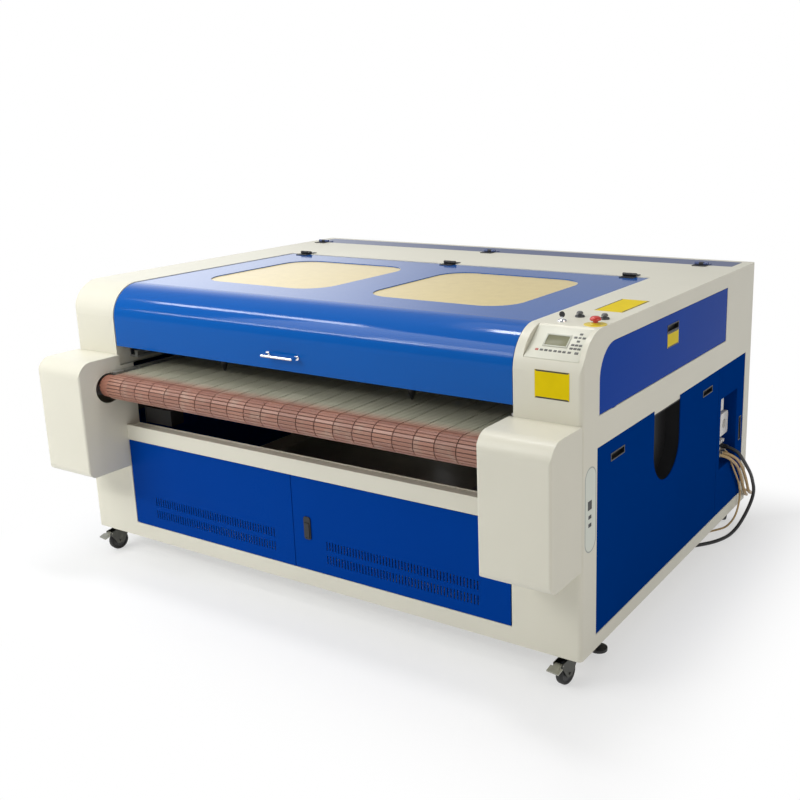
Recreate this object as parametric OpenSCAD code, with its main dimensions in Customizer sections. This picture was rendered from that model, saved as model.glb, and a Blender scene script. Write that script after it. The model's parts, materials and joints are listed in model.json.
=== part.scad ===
// Flat-bed carbon dioxide laser cutting machine with a powered conveyor bed.
// +X points to the operator's right, +Y to the back of the machine and +Z up.
// The origin is on the floor, under the middle of the machine's plan.
// Inside from_front() the Y values count from the cabinet's front plane.

/* [Cabinet] */
// Width of the cabinet across its side walls
body_w = 2150; // [1900:10:2600]
// Depth of the cabinet from front plane to back wall
body_d = 1530; // [1500:10:1800]
// Height of the top deck above the floor
body_top = 1085; // [1080:5:1200]
// Height of the cabinet's underside above the floor
body_bottom = 102; // [90:1:125]
// Height of the joint between base and upper cabinet
split_z = 787; // [780:1:795]
// Thickness of the folded sheet
sheet_t = 3; // [2:0.5:4]
// Rounding of the upright outer edges
edge_r = 14; // [6:1:20]
// Radius of the curved nose at the top of the front
nose_r = 125; // [110:1:140]
// Width of each side column of the upper cabinet
column_w = 220; // [200:1:240]
// Gap around every panel, door and lid
panel_gap = 2; // [1:0.5:3]
// Width of the seat that a panel rests on
lip_w = 14; // [10:1:20]

/* [Base cabinet] */
// Width of each front pillar
pillar_w = 233; // [225:1:245]
// Depth of the pillar's inner return
pillar_d = 60; // [50:1:80]
// Height of the door opening's lower edge
door_z0 = 159; // [150:1:170]
// Height of the door opening's upper edge
door_z1 = 497; // [480:1:505]
// Height of the front rail's upper edge
rail_z1 = 555; // [540:1:560]
// Drop of the front rail's rear shelf below its upper edge
rail_step = 12; // [8:1:20]
// Side of the inner square tubes
tube_side = 40; // [30:1:50]
// Wall of the inner square tubes
tube_t = 3; // [2:0.5:4]
// Height of the inner side tubes' underside
tube_z = 600; // [590:1:610]

/* [Doors] */
// Depth of a door's folded rim
door_t = 16; // [14:1:20]
// Place of the seam between the doors
door_seam_x = -25; // [-40:1:0]
// Gap between a door and its opening
door_gap = 4; // [4:0.5:6]
// Radius of a door's hinge pin
door_pin_r = 4; // [3:0.5:5]
// Length of a door's hinge pin above its rim
door_pin_l = 9; // [8:1:12]
// Width of one vent slot
slot_w = 4; // [3:1:6]
// Spacing of the vent slots
slot_pitch = 12.5; // [10:0.5:15]
// Height of one vent slot
slot_h = 32; // [24:1:42]
// Number of vent slots in a row
slot_count = 49; // [10:1:49]
// Distance of a vent's middle towards the right of its door's middle
slot_shift = 14; // [0:1:20]

/* [Side panels] */
// Front edge of the upper side panel
up_y0 = 111; // [105:1:130]
// Distance of the upper side panel's rear edge from the back wall
up_back = 325; // [230:1:430]
// Lower edge of the upper side panel
up_z0 = 833; // [825:1:845]
// Drop of the upper side panel's upper edge below the deck
up_drop = 54; // [45:1:85]
// Radius of the upper side panel's front corner
up_r = 100; // [60:1:120]
// Front edge of the lower side panel
low_y0 = 100; // [95:1:120]
// Width of the service panel
service_w = 304; // [280:1:340]
// Distance of the service panel's rear edge from the back wall
low_back = 76; // [60:1:100]
// Lower edge of the lower panels
low_z0 = 150; // [140:1:160]
// Upper edge of the lower panels
low_z1 = 735; // [720:1:745]
// Thickness of a side panel
panel_t = 3; // [2:0.5:4]
// Front edge of the notch in the right lower panel
notch_y0 = 525; // [450:1:600]
// Width of the notch
notch_w = 230; // [150:1:260]
// Height of the notch below the panel's upper edge
notch_h = 263; // [200:1:300]
// Depth of the pocket behind the notch
pocket_d = 56; // [30:1:70]
// Width of a recessed grip
grip_w = 100; // [90:1:120]
// Height of a recessed grip
grip_h = 25; // [22:1:30]
// Depth of a recessed grip
grip_d = 14; // [10:1:16]

/* [Service bay] */
// Depth of the bay behind the service panel
bay_d = 60; // [40:1:80]
// Distance of the bay's front edge from the service panel's front edge
bay_in = 32; // [20:1:40]
// Width of the bay
bay_w = 190; // [184:1:198]
// Lower edge of the bay
bay_z0 = 330; // [300:1:340]
// Upper edge of the bay
bay_z1 = 610; // [604:1:640]
// Radius of the water hoses
hose_r = 6; // [5:0.5:8]
// Radius of the air hose
air_r = 4; // [3:0.5:5]
// Radius of the mains cable
cable_r = 7; // [5:0.5:8]

/* [Roller boxes] */
// Depth of a roller box in front of the cabinet
box_d = 186; // [175:1:210]
// Lower edge of a roller box
box_z0 = 392; // [380:1:400]
// Upper edge of a roller box
box_z1 = 827; // [815:1:830]
// Radius of the box's upper front edge
box_top_r = 58; // [20:1:70]
// Radius of the box's lower front edge
box_low_r = 30; // [20:1:40]
// Gap round the roller where it enters the box
hole_gap = 15; // [13:1:18]
// Drop of that hole's middle below the roller's axis
hole_drop = 10; // [6:1:11]

/* [Conveyor] */
// Radius of the rollers
roller_r = 41; // [38:1:46]
// Distance of the front roller's axis before the front plane
roller_y = 62; // [58:1:70]
// Height of the roller axes
roller_z = 724; // [718:1:728]
// Distance of the rear roller's axis from the back wall
rear_roller_back = 90; // [85:1:130]
// Gap between the rubber-covered part of a roller and the pillars
roller_gap = 4; // [3:1:17]
// Radius of the roller shafts
shaft_r = 15; // [12:1:20]
// Thickness of the belt
belt_t = 3.7; // [3:0.1:5]
// Distance of the belt's edges from the pillars
belt_margin = 42; // [37:1:62]
// Gap between the belt and what it runs over
belt_gap = 0.3; // [0.2:0.1:0.5]
// Thickness of the plate under the upper run
table_t = 20; // [12:1:25]
// Thickness of a bearing block
bearing_t = 25; // [20:1:30]
// Side of the geared motor
motor_side = 60; // [50:1:60]
// Length of the geared motor
motor_l = 135; // [120:1:150]

/* [Lid] */
// Height of the lid's lower front edge
lid_z0 = 861; // [855:1:870]
// Distance of the lid's rear edge from the back wall
lid_back = 534; // [530:1:580]
// Drop of the lid's skin below the columns' skin
lid_drop = 2; // [1:0.5:4]
// Depth of the lid's folded side flange
lid_flange = 28; // [20:1:32]
// Front edge of a window
win_y0 = 268; // [220:1:300]
// Distance of a window's rear edge from the lid's rear edge
win_back = 141; // [126:1:296]
// Inner edge of a window from the middle
win_x0 = 98; // [60:1:120]
// Distance of a window's outer edge from the lid's side edge
win_side = 173; // [152:1:252]
// Corner radius of a window
win_r = 115; // [60:1:120]
// Thickness of a window pane
pane_t = 5; // [4:0.5:6]
// Place of the handle's middle
handle_x = -22; // [-60:1:20]
// Height of the handle
handle_z = 912; // [900:1:930]
// Spacing of the handle's feet
handle_span = 128; // [96:1:160]
// Radius of the handle's bar
handle_r = 5; // [4:0.5:6]
// Distance of the handle's bar from the lid
handle_out = 32; // [28:1:40]

/* [Hinges] */
// Radius of a hinge knuckle
knuckle_r = 6; // [5:0.5:6]
// Radius of a hinge pin
hinge_pin_r = 2.5; // [2:0.5:3]
// Length of a hinge
hinge_l = 54; // [45:1:70]
// Width of a hinge leaf
leaf_w = 32; // [24:1:34]
// Thickness of a hinge leaf
leaf_t = 3; // [2:0.5:3]
// Height of the hinge axes above the deck
hinge_up = 6.5; // [6.2:0.1:8]

/* [Tube cover] */
// Depth of the tube cover
cover_d = 126; // [120:1:138]
// Distance of the tube cover from the back wall
cover_back = 32; // [20:1:50]
// Distance of the tube cover's ends from the side walls
cover_end = 45; // [35:1:75]
// Radius of the laser tube
laser_r = 40; // [30:1:40]
// Length of the laser tube
laser_l = 1650; // [1200:10:1800]
// Depth of the laser tube's axis below the deck
laser_drop = 100; // [85:1:115]

/* [Gas struts] */
// Distance of a strut's fixed pivot from the lid's rear edge
strut_back = 56; // [51:1:66]
// Depth of the fixed pivot below the deck
strut_drop = 180; // [175:1:182]
// Length between the pivots with the lid shut
strut_len = 269; // [268:1:270]
// Slope of the strut with the lid shut
strut_angle = 144.8; // [144:0.1:146]
// Distance of a strut's middle plane from the column
strut_in = 30; // [29:1:33]

/* [Gantry] */
// Front face of the beam behind the front plane
beam_y = 145; // [140:1:200]
// Depth of the beam
beam_d = 40; // [30:1:60]
// Height of the beam's underside
beam_z = 840; // [838:1:845]
// Height of the beam
beam_h = 40; // [30:1:40]
// Upper face of the rails
rail_top_z = 832; // [828:1:834]
// Distance of each cutting head from the middle
head_x = 415; // [300:1:450]
// Width of a cutting head's carriage
head_w = 80; // [60:1:100]
// Radius of a cutting head's lens tube
head_r = 13; // [10:1:16]
// Height of the nozzles' tips
nozzle_z = 792; // [780:1:800]

/* [Controls] */
// Distance of the control facet's inner edge from the side wall
facet_inner = 191; // [183:1:197]
// Distance of the control facet's outer edge from the side wall
facet_outer = 15; // [14:1:35]
// Lower edge of the facet behind the front plane
facet_y0 = 8; // [6:1:14]
// Upper edge of the facet behind the front plane
facet_y1 = 108; // [100:1:112]
// Radius of the emergency stop's mushroom head
estop_r = 17; // [15:1:20]
// Travel of the emergency stop
estop_travel = 5; // [3:0.5:6]
// Radius of a push button
button_r = 11; // [9:0.5:12]
// Travel of a push button
button_travel = 3; // [2:0.5:3]
// Radius of the mode lock's plug
plug_r = 9; // [7:0.5:10]

/* [Castors and feet] */
// Distance of a castor's axis from the side wall
castor_x = 65; // [60:1:80]
// Distance of a castor's axis from the front plane or back wall
castor_y = 62; // [60:1:90]
// Radius of a castor wheel
wheel_r = 37.5; // [35:0.5:40]
// Width of a castor wheel
wheel_w = 24; // [20:1:26]
// Distance of a wheel's axle from its swivel axis
trail = 28; // [20:1:30]
// Heading of the front castors
heading_front = 262; // [230:1:290]
// Heading of the rear left castor
heading_rl = 60; // [0:1:360]
// Heading of the rear right castor
heading_rr = 120; // [0:1:360]
// Distance of a levelling foot from the side wall
foot_x = 45; // [40:1:60]
// Distance of a rear levelling foot's axis from the side wall
rear_foot_x = 110; // [100:1:125]
// Distance of the front levelling feet from the front plane
foot_front = 215; // [205:1:240]
// Distance of the rear levelling feet from the back wall
foot_back = 170; // [165:1:175]
// Radius of a foot's pad
foot_r = 28; // [25:1:32]
// Height of the raised pads above the floor
foot_z = 30; // [25:1:40]

/* [Hidden] */
$fn = 48;

cream = [0.83, 0.81, 0.74];
blue = [0.02, 0.2, 0.6];
black = [0.07, 0.07, 0.07];
steel = [0.65, 0.66, 0.68];
copper = [0.62, 0.4, 0.34];
yellow = [0.85, 0.75, 0.05];
amber = [0.8, 0.6, 0.3, 0.6];
tan_hose = [0.75, 0.58, 0.35];

half_w = body_w / 2;
front_y = (box_d - body_d) / 2;
pillar_x = half_w - pillar_w;
cheek_x = half_w - column_w;
lid_half = cheek_x - sheet_t;
door_half = pillar_x - door_gap;
panel_x = half_w - 1;
up_y1 = body_d - up_back;
up_z1 = body_top - up_drop;
low_y2 = body_d - low_back;
low_y1 = low_y2 - service_w;
bay_y0 = low_y1 + bay_in;
bay_y1 = bay_y0 + bay_w;
rear_roller_y = body_d - rear_roller_back;
roller_half = pillar_x - roller_gap;
belt_half = pillar_x - belt_margin;
lid_y1 = body_d - lid_back;
win_x1 = lid_half - win_side;
win_y1 = lid_y1 - win_back;
cover_y1 = body_d - cover_back;
cover_y0 = cover_y1 - cover_d;
cover_half = half_w - cover_end;
laser_z = body_top - laser_drop;
strut_x = cheek_x - strut_in;
strut_y = lid_y1 - strut_back;
strut_z = body_top - strut_drop;
facet_x0 = half_w - facet_inner;
facet_x1 = half_w - facet_outer;
lip_x = panel_x - panel_t - sheet_t;
fit = 0.05;
seat = 0.3;
// Keeps the nose's curve and the corner's curve from touching in a point.
nose_shift = 0.3;
eps = 1;
belt_in_r = roller_r + belt_gap;
belt_out_r = belt_in_r + belt_t;
belt_top = roller_z + belt_out_r;
hinge_z = body_top + hinge_up;
lid_axis_y = lid_y1 + 5;
cover_axis_y = cover_y0 - 3;
lid_hinge_x = [72 - lid_half, -15, lid_half - 79];
cover_hinge_x = [40 - cover_half, -49, cover_half - 117];
fork_head_z = wheel_r + 52;
castor_plate_t = 4;
foot_places = [[half_w - foot_x, foot_front], [half_w - rear_foot_x, body_d - foot_back]];
lock_x = 40;
lock_z0 = 275;
lock_z1 = 357;
// Middles of the recessed grips: y and z.
low_grips = [[low_y0 + 142, low_z1 - 55], [low_y1 - 123, low_z1 - 55]];
up_grips = [[up_y1 - 538, up_z1 - 45]];
// Middle of the upright grip on the service panel: y and z.
bay_grip = [bay_y1 + 48, bay_z0 + 104];
// Glands in the bay's back plate: y, z and the radius of what passes.
glands = [
    [bay_y0 + 50, bay_z0 + 42, hose_r],
    [bay_y0 + 80, bay_z0 + 42, hose_r],
    [bay_y0 + 110, bay_z0 + 46, air_r],
    [bay_y0 + 140, bay_z0 + 50, cable_r]];

// ---------- helpers ----------
// Shifts its children so that Y = 0 is the cabinet's front plane.
module from_front() {
    translate([0, front_y, 0]) children();
}
// Extrudes an outline drawn in (Y, Z) from x0 to x1.
module along_x(x0, x1) {
    translate([x0, 0, 0]) rotate([90, 0, 90]) linear_extrude(x1 - x0) children();
}
// Extrudes an outline drawn in (X, Z) from y0 to y1.
module along_y(y0, y1) {
    translate([0, y1, 0]) rotate([90, 0, 0]) linear_extrude(y1 - y0) children();
}
// A box given by two opposite corners.
module block(a, b) {
    translate(a) cube(b - a);
}
// A cylinder along X, centred on (y, z).
module rod_x(x0, x1, y, z, r) {
    translate([x0, y, z]) rotate([0, 90, 0]) cylinder(h = x1 - x0, r = r);
}
// A cylinder along Y, centred on (x, z).
module rod_y(y0, y1, x, z, r) {
    translate([x, y1, z]) rotate([90, 0, 0]) cylinder(h = y1 - y0, r = r);
}
// Both sides: the children and their mirror image.
module both_sides() {
    children();
    mirror([1, 0, 0]) children();
}
// A rectangle with four round corners.
module round_rect(x0, y0, x1, y1, r) {
    translate([x0 + r, y0]) square([x1 - x0 - 2 * r, y1 - y0]);
    translate([x0, y0 + r]) square([x1 - x0, y1 - y0 - 2 * r]);
    for (x = [x0 + r, x1 - r]) {
        for (y = [y0 + r, y1 - r]) {
            translate([x, y]) circle(r);
        }
    }
}
// Side profile with a round upper front edge, grown inwards by inset.
module nose(y1, z0, inset) {
    r = nose_r - inset;
    translate([inset, z0]) square([y1 - inset, body_top - nose_r - z0]);
    translate([nose_r, z0]) square([y1 - nose_r, body_top - inset - z0]);
    translate([nose_r, body_top - nose_r]) circle(r, $fn = 96);
}
// Plan outline of the cabinet, shrunk by inset.
module plan(inset) {
    round_rect(inset - half_w, inset, half_w - inset, body_d - inset, edge_r - inset);
}
// Outline of the upper side panel grown by g.
module upper_outline(g) {
    r = up_r + g;
    y0 = up_y0 - g;
    z1 = up_z1 + g;
    translate([y0, up_z0 - g]) square([up_y1 - up_y0 + 2 * g, z1 - r - up_z0 + g]);
    translate([y0 + r, up_z0 - g]) square([up_y1 + g - y0 - r, z1 - up_z0 + g]);
    translate([y0 + r, z1 - r]) circle(r, $fn = 96);
}
// Outline of a lower panel grown by g.
module lower_outline(y0, y1, g) {
    translate([y0 - g, low_z0 - g]) square([y1 - y0 + 2 * g, low_z1 - low_z0 + 2 * g]);
}
// Outline of the notch with its round foot, grown by g.
module notch_outline(g) {
    r = notch_w / 2 + g;
    z_top = low_z1 + panel_gap;
    z_mid = low_z1 - notch_h + notch_w / 2;
    translate([notch_y0 - g, z_mid]) square([notch_w + 2 * g, z_top - z_mid]);
    translate([notch_y0 + notch_w / 2, z_mid]) circle(r);
}
// Seat behind an opening in the right wall, before the opening is cut.
module lip_blank() {
    along_x(lip_x, half_w - sheet_t) children();
}

// ---------- base cabinet ----------
module base_skin() {
    difference() {
        translate([0, 0, body_bottom]) linear_extrude(split_z - body_bottom) plan(0);
        translate([0, 0, body_bottom + sheet_t]) linear_extrude(split_z) plan(sheet_t);
    }
}
module square_tube_y(x0, z0, y0, y1) {
    difference() {
        block([x0, y0, z0], [x0 + tube_side, y1, z0 + tube_side]);
        block([x0 + tube_t, y0 - eps, z0 + tube_t],
            [x0 + tube_side - tube_t, y1 + eps, z0 + tube_side - tube_t]);
    }
}
module front_rail() {
    shelf_z = rail_z1 - rail_step;
    block([-pillar_x - eps, 0, door_z1], [pillar_x + eps, pillar_d, door_z1 + sheet_t]);
    block([-pillar_x - eps, 0, rail_z1 - sheet_t], [pillar_x + eps, sheet_t * 4, rail_z1]);
    block([-pillar_x - eps, sheet_t * 3, shelf_z], [pillar_x + eps, sheet_t * 4, rail_z1]);
    block([-pillar_x - eps, sheet_t * 3, shelf_z], [pillar_x + eps, pillar_d, shelf_z + sheet_t]);
    block([-pillar_x - eps, pillar_d - sheet_t, door_z1],
        [pillar_x + eps, pillar_d, shelf_z + 2 * sheet_t]);
}
module base_cabinet() {
    color(cream) from_front() difference() {
        union() {
            base_skin();
            front_rail();
            block([-pillar_x - eps, 0, door_z0 - sheet_t], [pillar_x + eps, tube_side, door_z0]);
            both_sides() {
                for (p = foot_places) {
                    translate([p[0], p[1], body_bottom]) cylinder(h = sheet_t + 12, r = 14);
                }
                block([pillar_x, 0, body_bottom], [pillar_x + sheet_t, pillar_d, split_z]);
                square_tube_y(pillar_x + sheet_t, tube_z, sheet_t, body_d - sheet_t);
                lip_blank() lower_outline(low_y0, low_y2, lip_w);
                lip_blank() translate([low_y1 - lip_w, low_z0]) square([2 * lip_w, low_z1 - low_z0]);
            }
            along_y(body_d - 2 * sheet_t, body_d - sheet_t)
                back_outline(lip_w);
        }
        block([-pillar_x, -eps, door_z0], [pillar_x, sheet_t + eps, door_z1]);
        block([-pillar_x, -eps, rail_z1], [pillar_x, sheet_t + eps, split_z + eps]);
        along_y(body_d - 2 * sheet_t - eps, body_d + eps) back_outline(-lip_w);
        along_y(body_d - sheet_t, body_d + eps) back_outline(panel_gap);
        both_sides() {
            for (p = foot_places) {
                translate([p[0], p[1], body_bottom - eps]) cylinder(h = 30, r = 6 + fit);
            }
            along_x(panel_x - panel_t, half_w + eps) lower_outline(low_y0, low_y2, panel_gap);
            along_x(lip_x - eps, half_w + eps) lower_outline(low_y0, low_y1 - 1.5, -lip_w);
            along_x(lip_x - eps, half_w + eps) lower_outline(low_y1 + 1.5, low_y2, -lip_w);
            translate([door_half - door_t / 2, door_t / 2, door_z0 - 2 * sheet_t])
                cylinder(h = door_z1 - door_z0 + 4 * sheet_t, r = door_pin_r + fit);
        }
        interface_outline_cut();
    }
}
// Shallow seat of the interface plate in the right front pillar.
module interface_outline_cut() {
    along_x(half_w - 1, half_w + eps) round_rect(18, 432, 93, 695, 37);
}
module back_outline(g) {
    translate([-door_half - g, low_z0 - g]) square([2 * door_half + 2 * g, low_z1 - low_z0 + 2 * g]);
}

// ---------- upper cabinet ----------
module upper_skin() {
    difference() {
        intersection() {
            translate([0, 0, split_z]) linear_extrude(body_top - split_z) plan(0);
            along_x(-half_w, half_w) nose(body_d, split_z, -nose_shift);
        }
        intersection() {
            translate([0, 0, split_z - eps]) linear_extrude(body_top) plan(sheet_t);
            along_x(-half_w, half_w) nose(body_d, split_z - eps, sheet_t - nose_shift);
        }
    }
}
// Outline above the control facet, lowered by drop.
module facet_outline(drop) {
    z0 = nose_height(facet_y0);
    z1 = nose_height(facet_y1);
    polygon([[facet_y0 - 40, z0 - drop], [facet_y0, z0 - drop], [facet_y1, z1 - drop],
        [facet_y1 + 4, z1 + 40], [facet_y0 - 40, z1 + 40]]);
}
function nose_height(y) = body_top - nose_r + sqrt(pow(nose_r, 2) - pow(nose_r - y, 2));
// Blank of the flat bed that carries the control unit.
module facet_bed() {
    intersection() {
        along_x(facet_x0 - sheet_t, facet_x1 + sheet_t) nose(nose_r + 10, body_top - nose_r - 10, 0);
        along_x(facet_x0 - sheet_t, facet_x1 + sheet_t) translate([0, -1.4 * sheet_t]) facet_outline(0);
    }
}
module upper_cabinet() {
    color(cream) from_front() difference() {
        union() {
            difference() {
                upper_skin();
                block([-cheek_x, -eps, split_z - eps], [cheek_x, lid_y1 + 4, body_top + eps]);
            }
            both_sides() {
                intersection() {
                    along_x(cheek_x, cheek_x + sheet_t) nose(cover_y0 - sheet_t - 1, split_z, 0);
                    along_x(0, half_w) nose(body_d, split_z, 0);
                }
                lip_blank() upper_outline(lip_w);
            }
            block([-cheek_x, lid_y1 + 4, body_top - 30], [cheek_x, lid_y1 + 4 + sheet_t, body_top - eps]);
            block([-half_w + sheet_t, cover_y0 - 2 * sheet_t, laser_z - 85 - sheet_t],
                [half_w - sheet_t, body_d - sheet_t, laser_z - 85]);
            facet_bed();
            both_sides() rod_x(strut_x - 8, cheek_x + 1, strut_y, strut_z, 4);
        }
        block([-cover_half - panel_gap, cover_y0 - panel_gap, body_top - 2 * sheet_t],
            [cover_half + panel_gap, cover_y1 + panel_gap, body_top + eps]);
        block([-belt_half - 30, body_d - sheet_t - eps, split_z + sheet_t],
            [belt_half + 30, body_d + eps, lid_z0 - 10]);
        along_x(facet_x0, facet_x1) facet_outline(0);
        both_sides() {
            along_x(panel_x - panel_t, half_w + eps) upper_outline(panel_gap);
            along_x(lip_x - eps, half_w + eps) upper_outline(-lip_w);
        }
        for (p = switch_places()) {
            translate([p[0], p[1], body_top - 10]) cylinder(h = 20, r = p[2]);
        }
    }
}
// Switch holes in the right column: x, y and hole radius.
function switch_places() = [
    [half_w - 35, 152, 11.2],
    [half_w - 140, 150, plug_r + 0.6],
    [half_w - 125, 235, 8.2],
    [half_w - 45, 235, 8.2]];

// ---------- panels ----------
module back_panel() {
    duct_r = 75;
    duct_x = 420;
    duct_z = 300;
    color(cream) from_front() difference() {
        union() {
            along_y(body_d - sheet_t, body_d) back_outline(0);
            both_sides() rod_y(body_d - 43, body_d - 1, duct_x, duct_z, duct_r + 2.5);
        }
        both_sides() rod_y(body_d - 50, body_d + eps, duct_x, duct_z, duct_r);
        for (i = [0:slot_count - 1]) {
            x = (i - (slot_count - 1) / 2) * slot_pitch - slot_w / 2;
            block([x, body_d - 10, 560], [x + slot_w, body_d + eps, 560 + slot_h]);
        }
    }
}
module grip_slots(places) {
    for (p = places) {
        along_x(panel_x - panel_t - eps, panel_x + eps)
            translate([p[0] - grip_w / 2 + 2, p[1] - grip_h / 2 + 2]) square([grip_w - 4, grip_h - 4]);
    }
}
module lower_panel_right() {
    color(blue) from_front() difference() {
        along_x(panel_x - panel_t, panel_x) lower_outline(low_y0, low_y1 - 1.5, 0);
        along_x(panel_x - panel_t - eps, panel_x + eps) notch_outline(0);
        grip_slots(low_grips);
    }
}
module upper_panel_right() {
    color(blue) from_front() difference() {
        along_x(panel_x - panel_t, panel_x) upper_outline(0);
        grip_slots(up_grips);
    }
}
module left_panels() {
    color(blue) from_front() mirror([1, 0, 0]) difference() {
        union() {
            along_x(panel_x - panel_t, panel_x) upper_outline(0);
            along_x(panel_x - panel_t, panel_x) lower_outline(low_y0, low_y2, 0);
        }
        grip_slots(concat(low_grips, up_grips));
    }
}
module grip(y, z, w, h) {
    wall = 1.5;
    back_x = panel_x - grip_d;
    difference() {
        union() {
            block([panel_x, y - w / 2, z - h / 2], [half_w, y + w / 2, z + h / 2]);
            block([back_x, y - w / 2 + 2.3, z - h / 2 + 2.3], [panel_x, y + w / 2 - 2.3, z + h / 2 - 2.3]);
        }
        block([back_x + wall, y - w / 2 + 2.3 + wall, z - h / 2 + 2.3 + wall],
            [half_w + eps, y + w / 2 - 2.3 - wall, z + h / 2 - 2.3 - wall]);
    }
}
module panel_grips() {
    color(black) from_front() {
        both_sides() {
            for (p = concat(low_grips, up_grips)) {
                grip(p[0], p[1], grip_w, grip_h);
            }
        }
        grip(bay_grip[0], bay_grip[1], grip_h, grip_w);
    }
}
module side_pocket() {
    wall = 2;
    color(black) from_front() difference() {
        along_x(panel_x - panel_t - pocket_d, panel_x - panel_t) intersection() {
            notch_outline(wall + 6);
            translate([0, low_z0]) square([low_y2, low_z1 - low_z0 - lip_w - panel_gap]);
        }
        along_x(panel_x - panel_t - pocket_d + wall, panel_x) intersection() {
            notch_outline(6);
            translate([0, low_z0]) square([low_y2, low_z1 - low_z0 - lip_w - panel_gap - wall]);
        }
    }
}

// ---------- service bay ----------
module service_panel() {
    back_x = panel_x - panel_t - bay_d;
    color(blue) from_front() difference() {
        union() {
            along_x(panel_x - panel_t, panel_x) lower_outline(low_y1 + 1.5, low_y2, 0);
            block([back_x, bay_y0 - 2, bay_z0 - 2], [panel_x - eps, bay_y1 + 2, bay_z1 + 2]);
        }
        block([back_x + 2, bay_y0, bay_z0], [panel_x + eps, bay_y1, bay_z1]);
        for (g = glands) {
            rod_x(back_x - eps, back_x + 3, g[0], g[1], g[2] + 2);
        }
        along_x(panel_x - panel_t - eps, panel_x + eps)
            translate([bay_grip[0] - grip_h / 2 + 2, bay_grip[1] - grip_w / 2 + 2])
                square([grip_h - 4, grip_w - 4]);
    }
}
module service_sockets() {
    back_x = panel_x - panel_t - bay_d + 2;
    color([0.92, 0.9, 0.9]) from_front() {
        difference() {
            along_x(back_x, back_x + 36)
                round_rect(bay_y1 - 116, bay_z0 + 106, bay_y1 - 26, bay_z0 + 196, 12);
            rod_x(back_x + 16, back_x + 40, bay_y1 - 71, bay_z0 + 151, 19);
        }
        along_x(back_x, back_x + 34) round_rect(bay_y1 - 112, bay_z0 + 210, bay_y1 - 78, bay_z0 + 262, 5);
        for (g = glands) {
            difference() {
                union() {
                    rod_x(back_x, back_x + 8, g[0], g[1], g[2] + 6);
                    rod_x(back_x - 8, back_x + 26, g[0], g[1], g[2] + 1.9);
                }
                rod_x(back_x - 9, back_x + 27, g[0], g[1], g[2]);
            }
        }
        for (y = [bay_y1 - 110, bay_y1 - 88, bay_y1 - 66]) {
            rod_x(back_x, back_x + 36, y, bay_z0 + 82, 7);
        }
    }
}
module interface_plate() {
    color(steel) from_front() difference() {
        along_x(half_w - 1, half_w) round_rect(18.3, 432.3, 92.7, 694.7, 36.7);
        for (z = [512, 537]) {
            along_x(half_w - 2, half_w + eps) translate([42, z]) square([20, 12]);
        }
        along_x(half_w - 2, half_w + eps) translate([38, 565]) square([26, 28]);
    }
}

// ---------- roller boxes ----------
module box_outline(inset) {
    y0 = inset - box_d;
    z0 = box_z0 + inset;
    z1 = box_z1 - inset;
    rt = box_top_r - inset;
    rl = box_low_r - inset;
    translate([y0, z0 + rl]) square([box_d - inset, z1 - rt - z0 - rl]);
    translate([y0 + rt, z1 - rt]) square([box_d - inset - rt, rt]);
    translate([y0 + rl, z0]) square([box_d - inset - rl, rl]);
    translate([y0 + rt, z1 - rt]) circle(rt, $fn = 72);
    translate([y0 + rl, z0 + rl]) circle(rl);
}
module box_plan(inset) {
    round_rect(pillar_x + inset, inset - box_d, half_w - inset, 60, 8 - inset);
}
module roller_box() {
    from_front() difference() {
        intersection() {
            along_x(pillar_x, half_w) box_outline(0);
            translate([0, 0, box_z0]) linear_extrude(box_z1 - box_z0) box_plan(0);
        }
        intersection() {
            along_x(pillar_x, half_w) union() {
                box_outline(sheet_t);
                translate([-box_low_r, box_z0 + sheet_t])
                    square([box_low_r + eps, box_z1 - box_z0 - 2 * sheet_t]);
            }
            translate([0, 0, box_z0]) linear_extrude(box_z1 - box_z0) box_plan(sheet_t);
        }
        rod_x(pillar_x - eps, pillar_x + 5, -roller_y, roller_z - hole_drop, roller_r + hole_gap);
    }
}
module front_box_left() {
    color(cream) mirror([1, 0, 0]) roller_box();
}
module front_box_right() {
    color(cream) roller_box();
}

// ---------- conveyor ----------
module stadium(r) {
    translate([-roller_y, roller_z]) circle(r, $fn = 96);
    translate([rear_roller_y, roller_z]) circle(r, $fn = 96);
    translate([-roller_y, roller_z - r]) square([rear_roller_y + roller_y, 2 * r]);
}
module conveyor_belt() {
    color(copper) from_front() along_x(-belt_half, belt_half) difference() {
        stadium(belt_out_r);
        stadium(belt_in_r);
    }
}
module belt_table() {
    top = roller_z + belt_in_r - belt_gap;
    skirt_x = pillar_x + sheet_t;
    guide_top = belt_top + 5;
    y0 = pillar_d + seat;
    y1 = rear_roller_y - roller_r - 20;
    color(steel) from_front() difference() {
        union() {
            block([-skirt_x, y0, top - table_t], [skirt_x, y1, top]);
            block([seat - pillar_x, 14, top - table_t], [pillar_x - seat, y0 + eps, top]);
            both_sides() {
                block([skirt_x, y0, tube_z + tube_side], [skirt_x + 4, y1, top]);
                block([belt_half + 12, y0, top - table_t], [belt_half + 34, y1, guide_top]);
                block([belt_half + 12, -roller_y + 14, top + 2 * belt_t],
                    [belt_half + 34, y0 + eps, guide_top]);
            }
        }
        for (i = [0:7]) {
            x = (i - 3.5) * belt_half / 4;
            block([x - belt_half / 10, y0 + 60, top - table_t - eps],
                [x + belt_half / 10, y1 - 60, top - 3]);
        }
    }
}
module roller() {
    rod_x(-roller_half, roller_half, 0, roller_z, roller_r);
}
module front_roller() {
    color(copper) from_front() translate([0, -roller_y, 0]) {
        roller();
        rod_x(-pillar_x - 70, pillar_x + 70, 0, roller_z, shaft_r);
    }
}
module rear_roller() {
    color(copper) from_front() translate([0, rear_roller_y, 0]) {
        difference() {
            roller();
            both_sides() rod_x(roller_half - 3, roller_half + eps, 0, roller_z, roller_r - 8);
        }
        rod_x(-pillar_x - 30, pillar_x + 30, 0, roller_z, shaft_r);
    }
}
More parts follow.
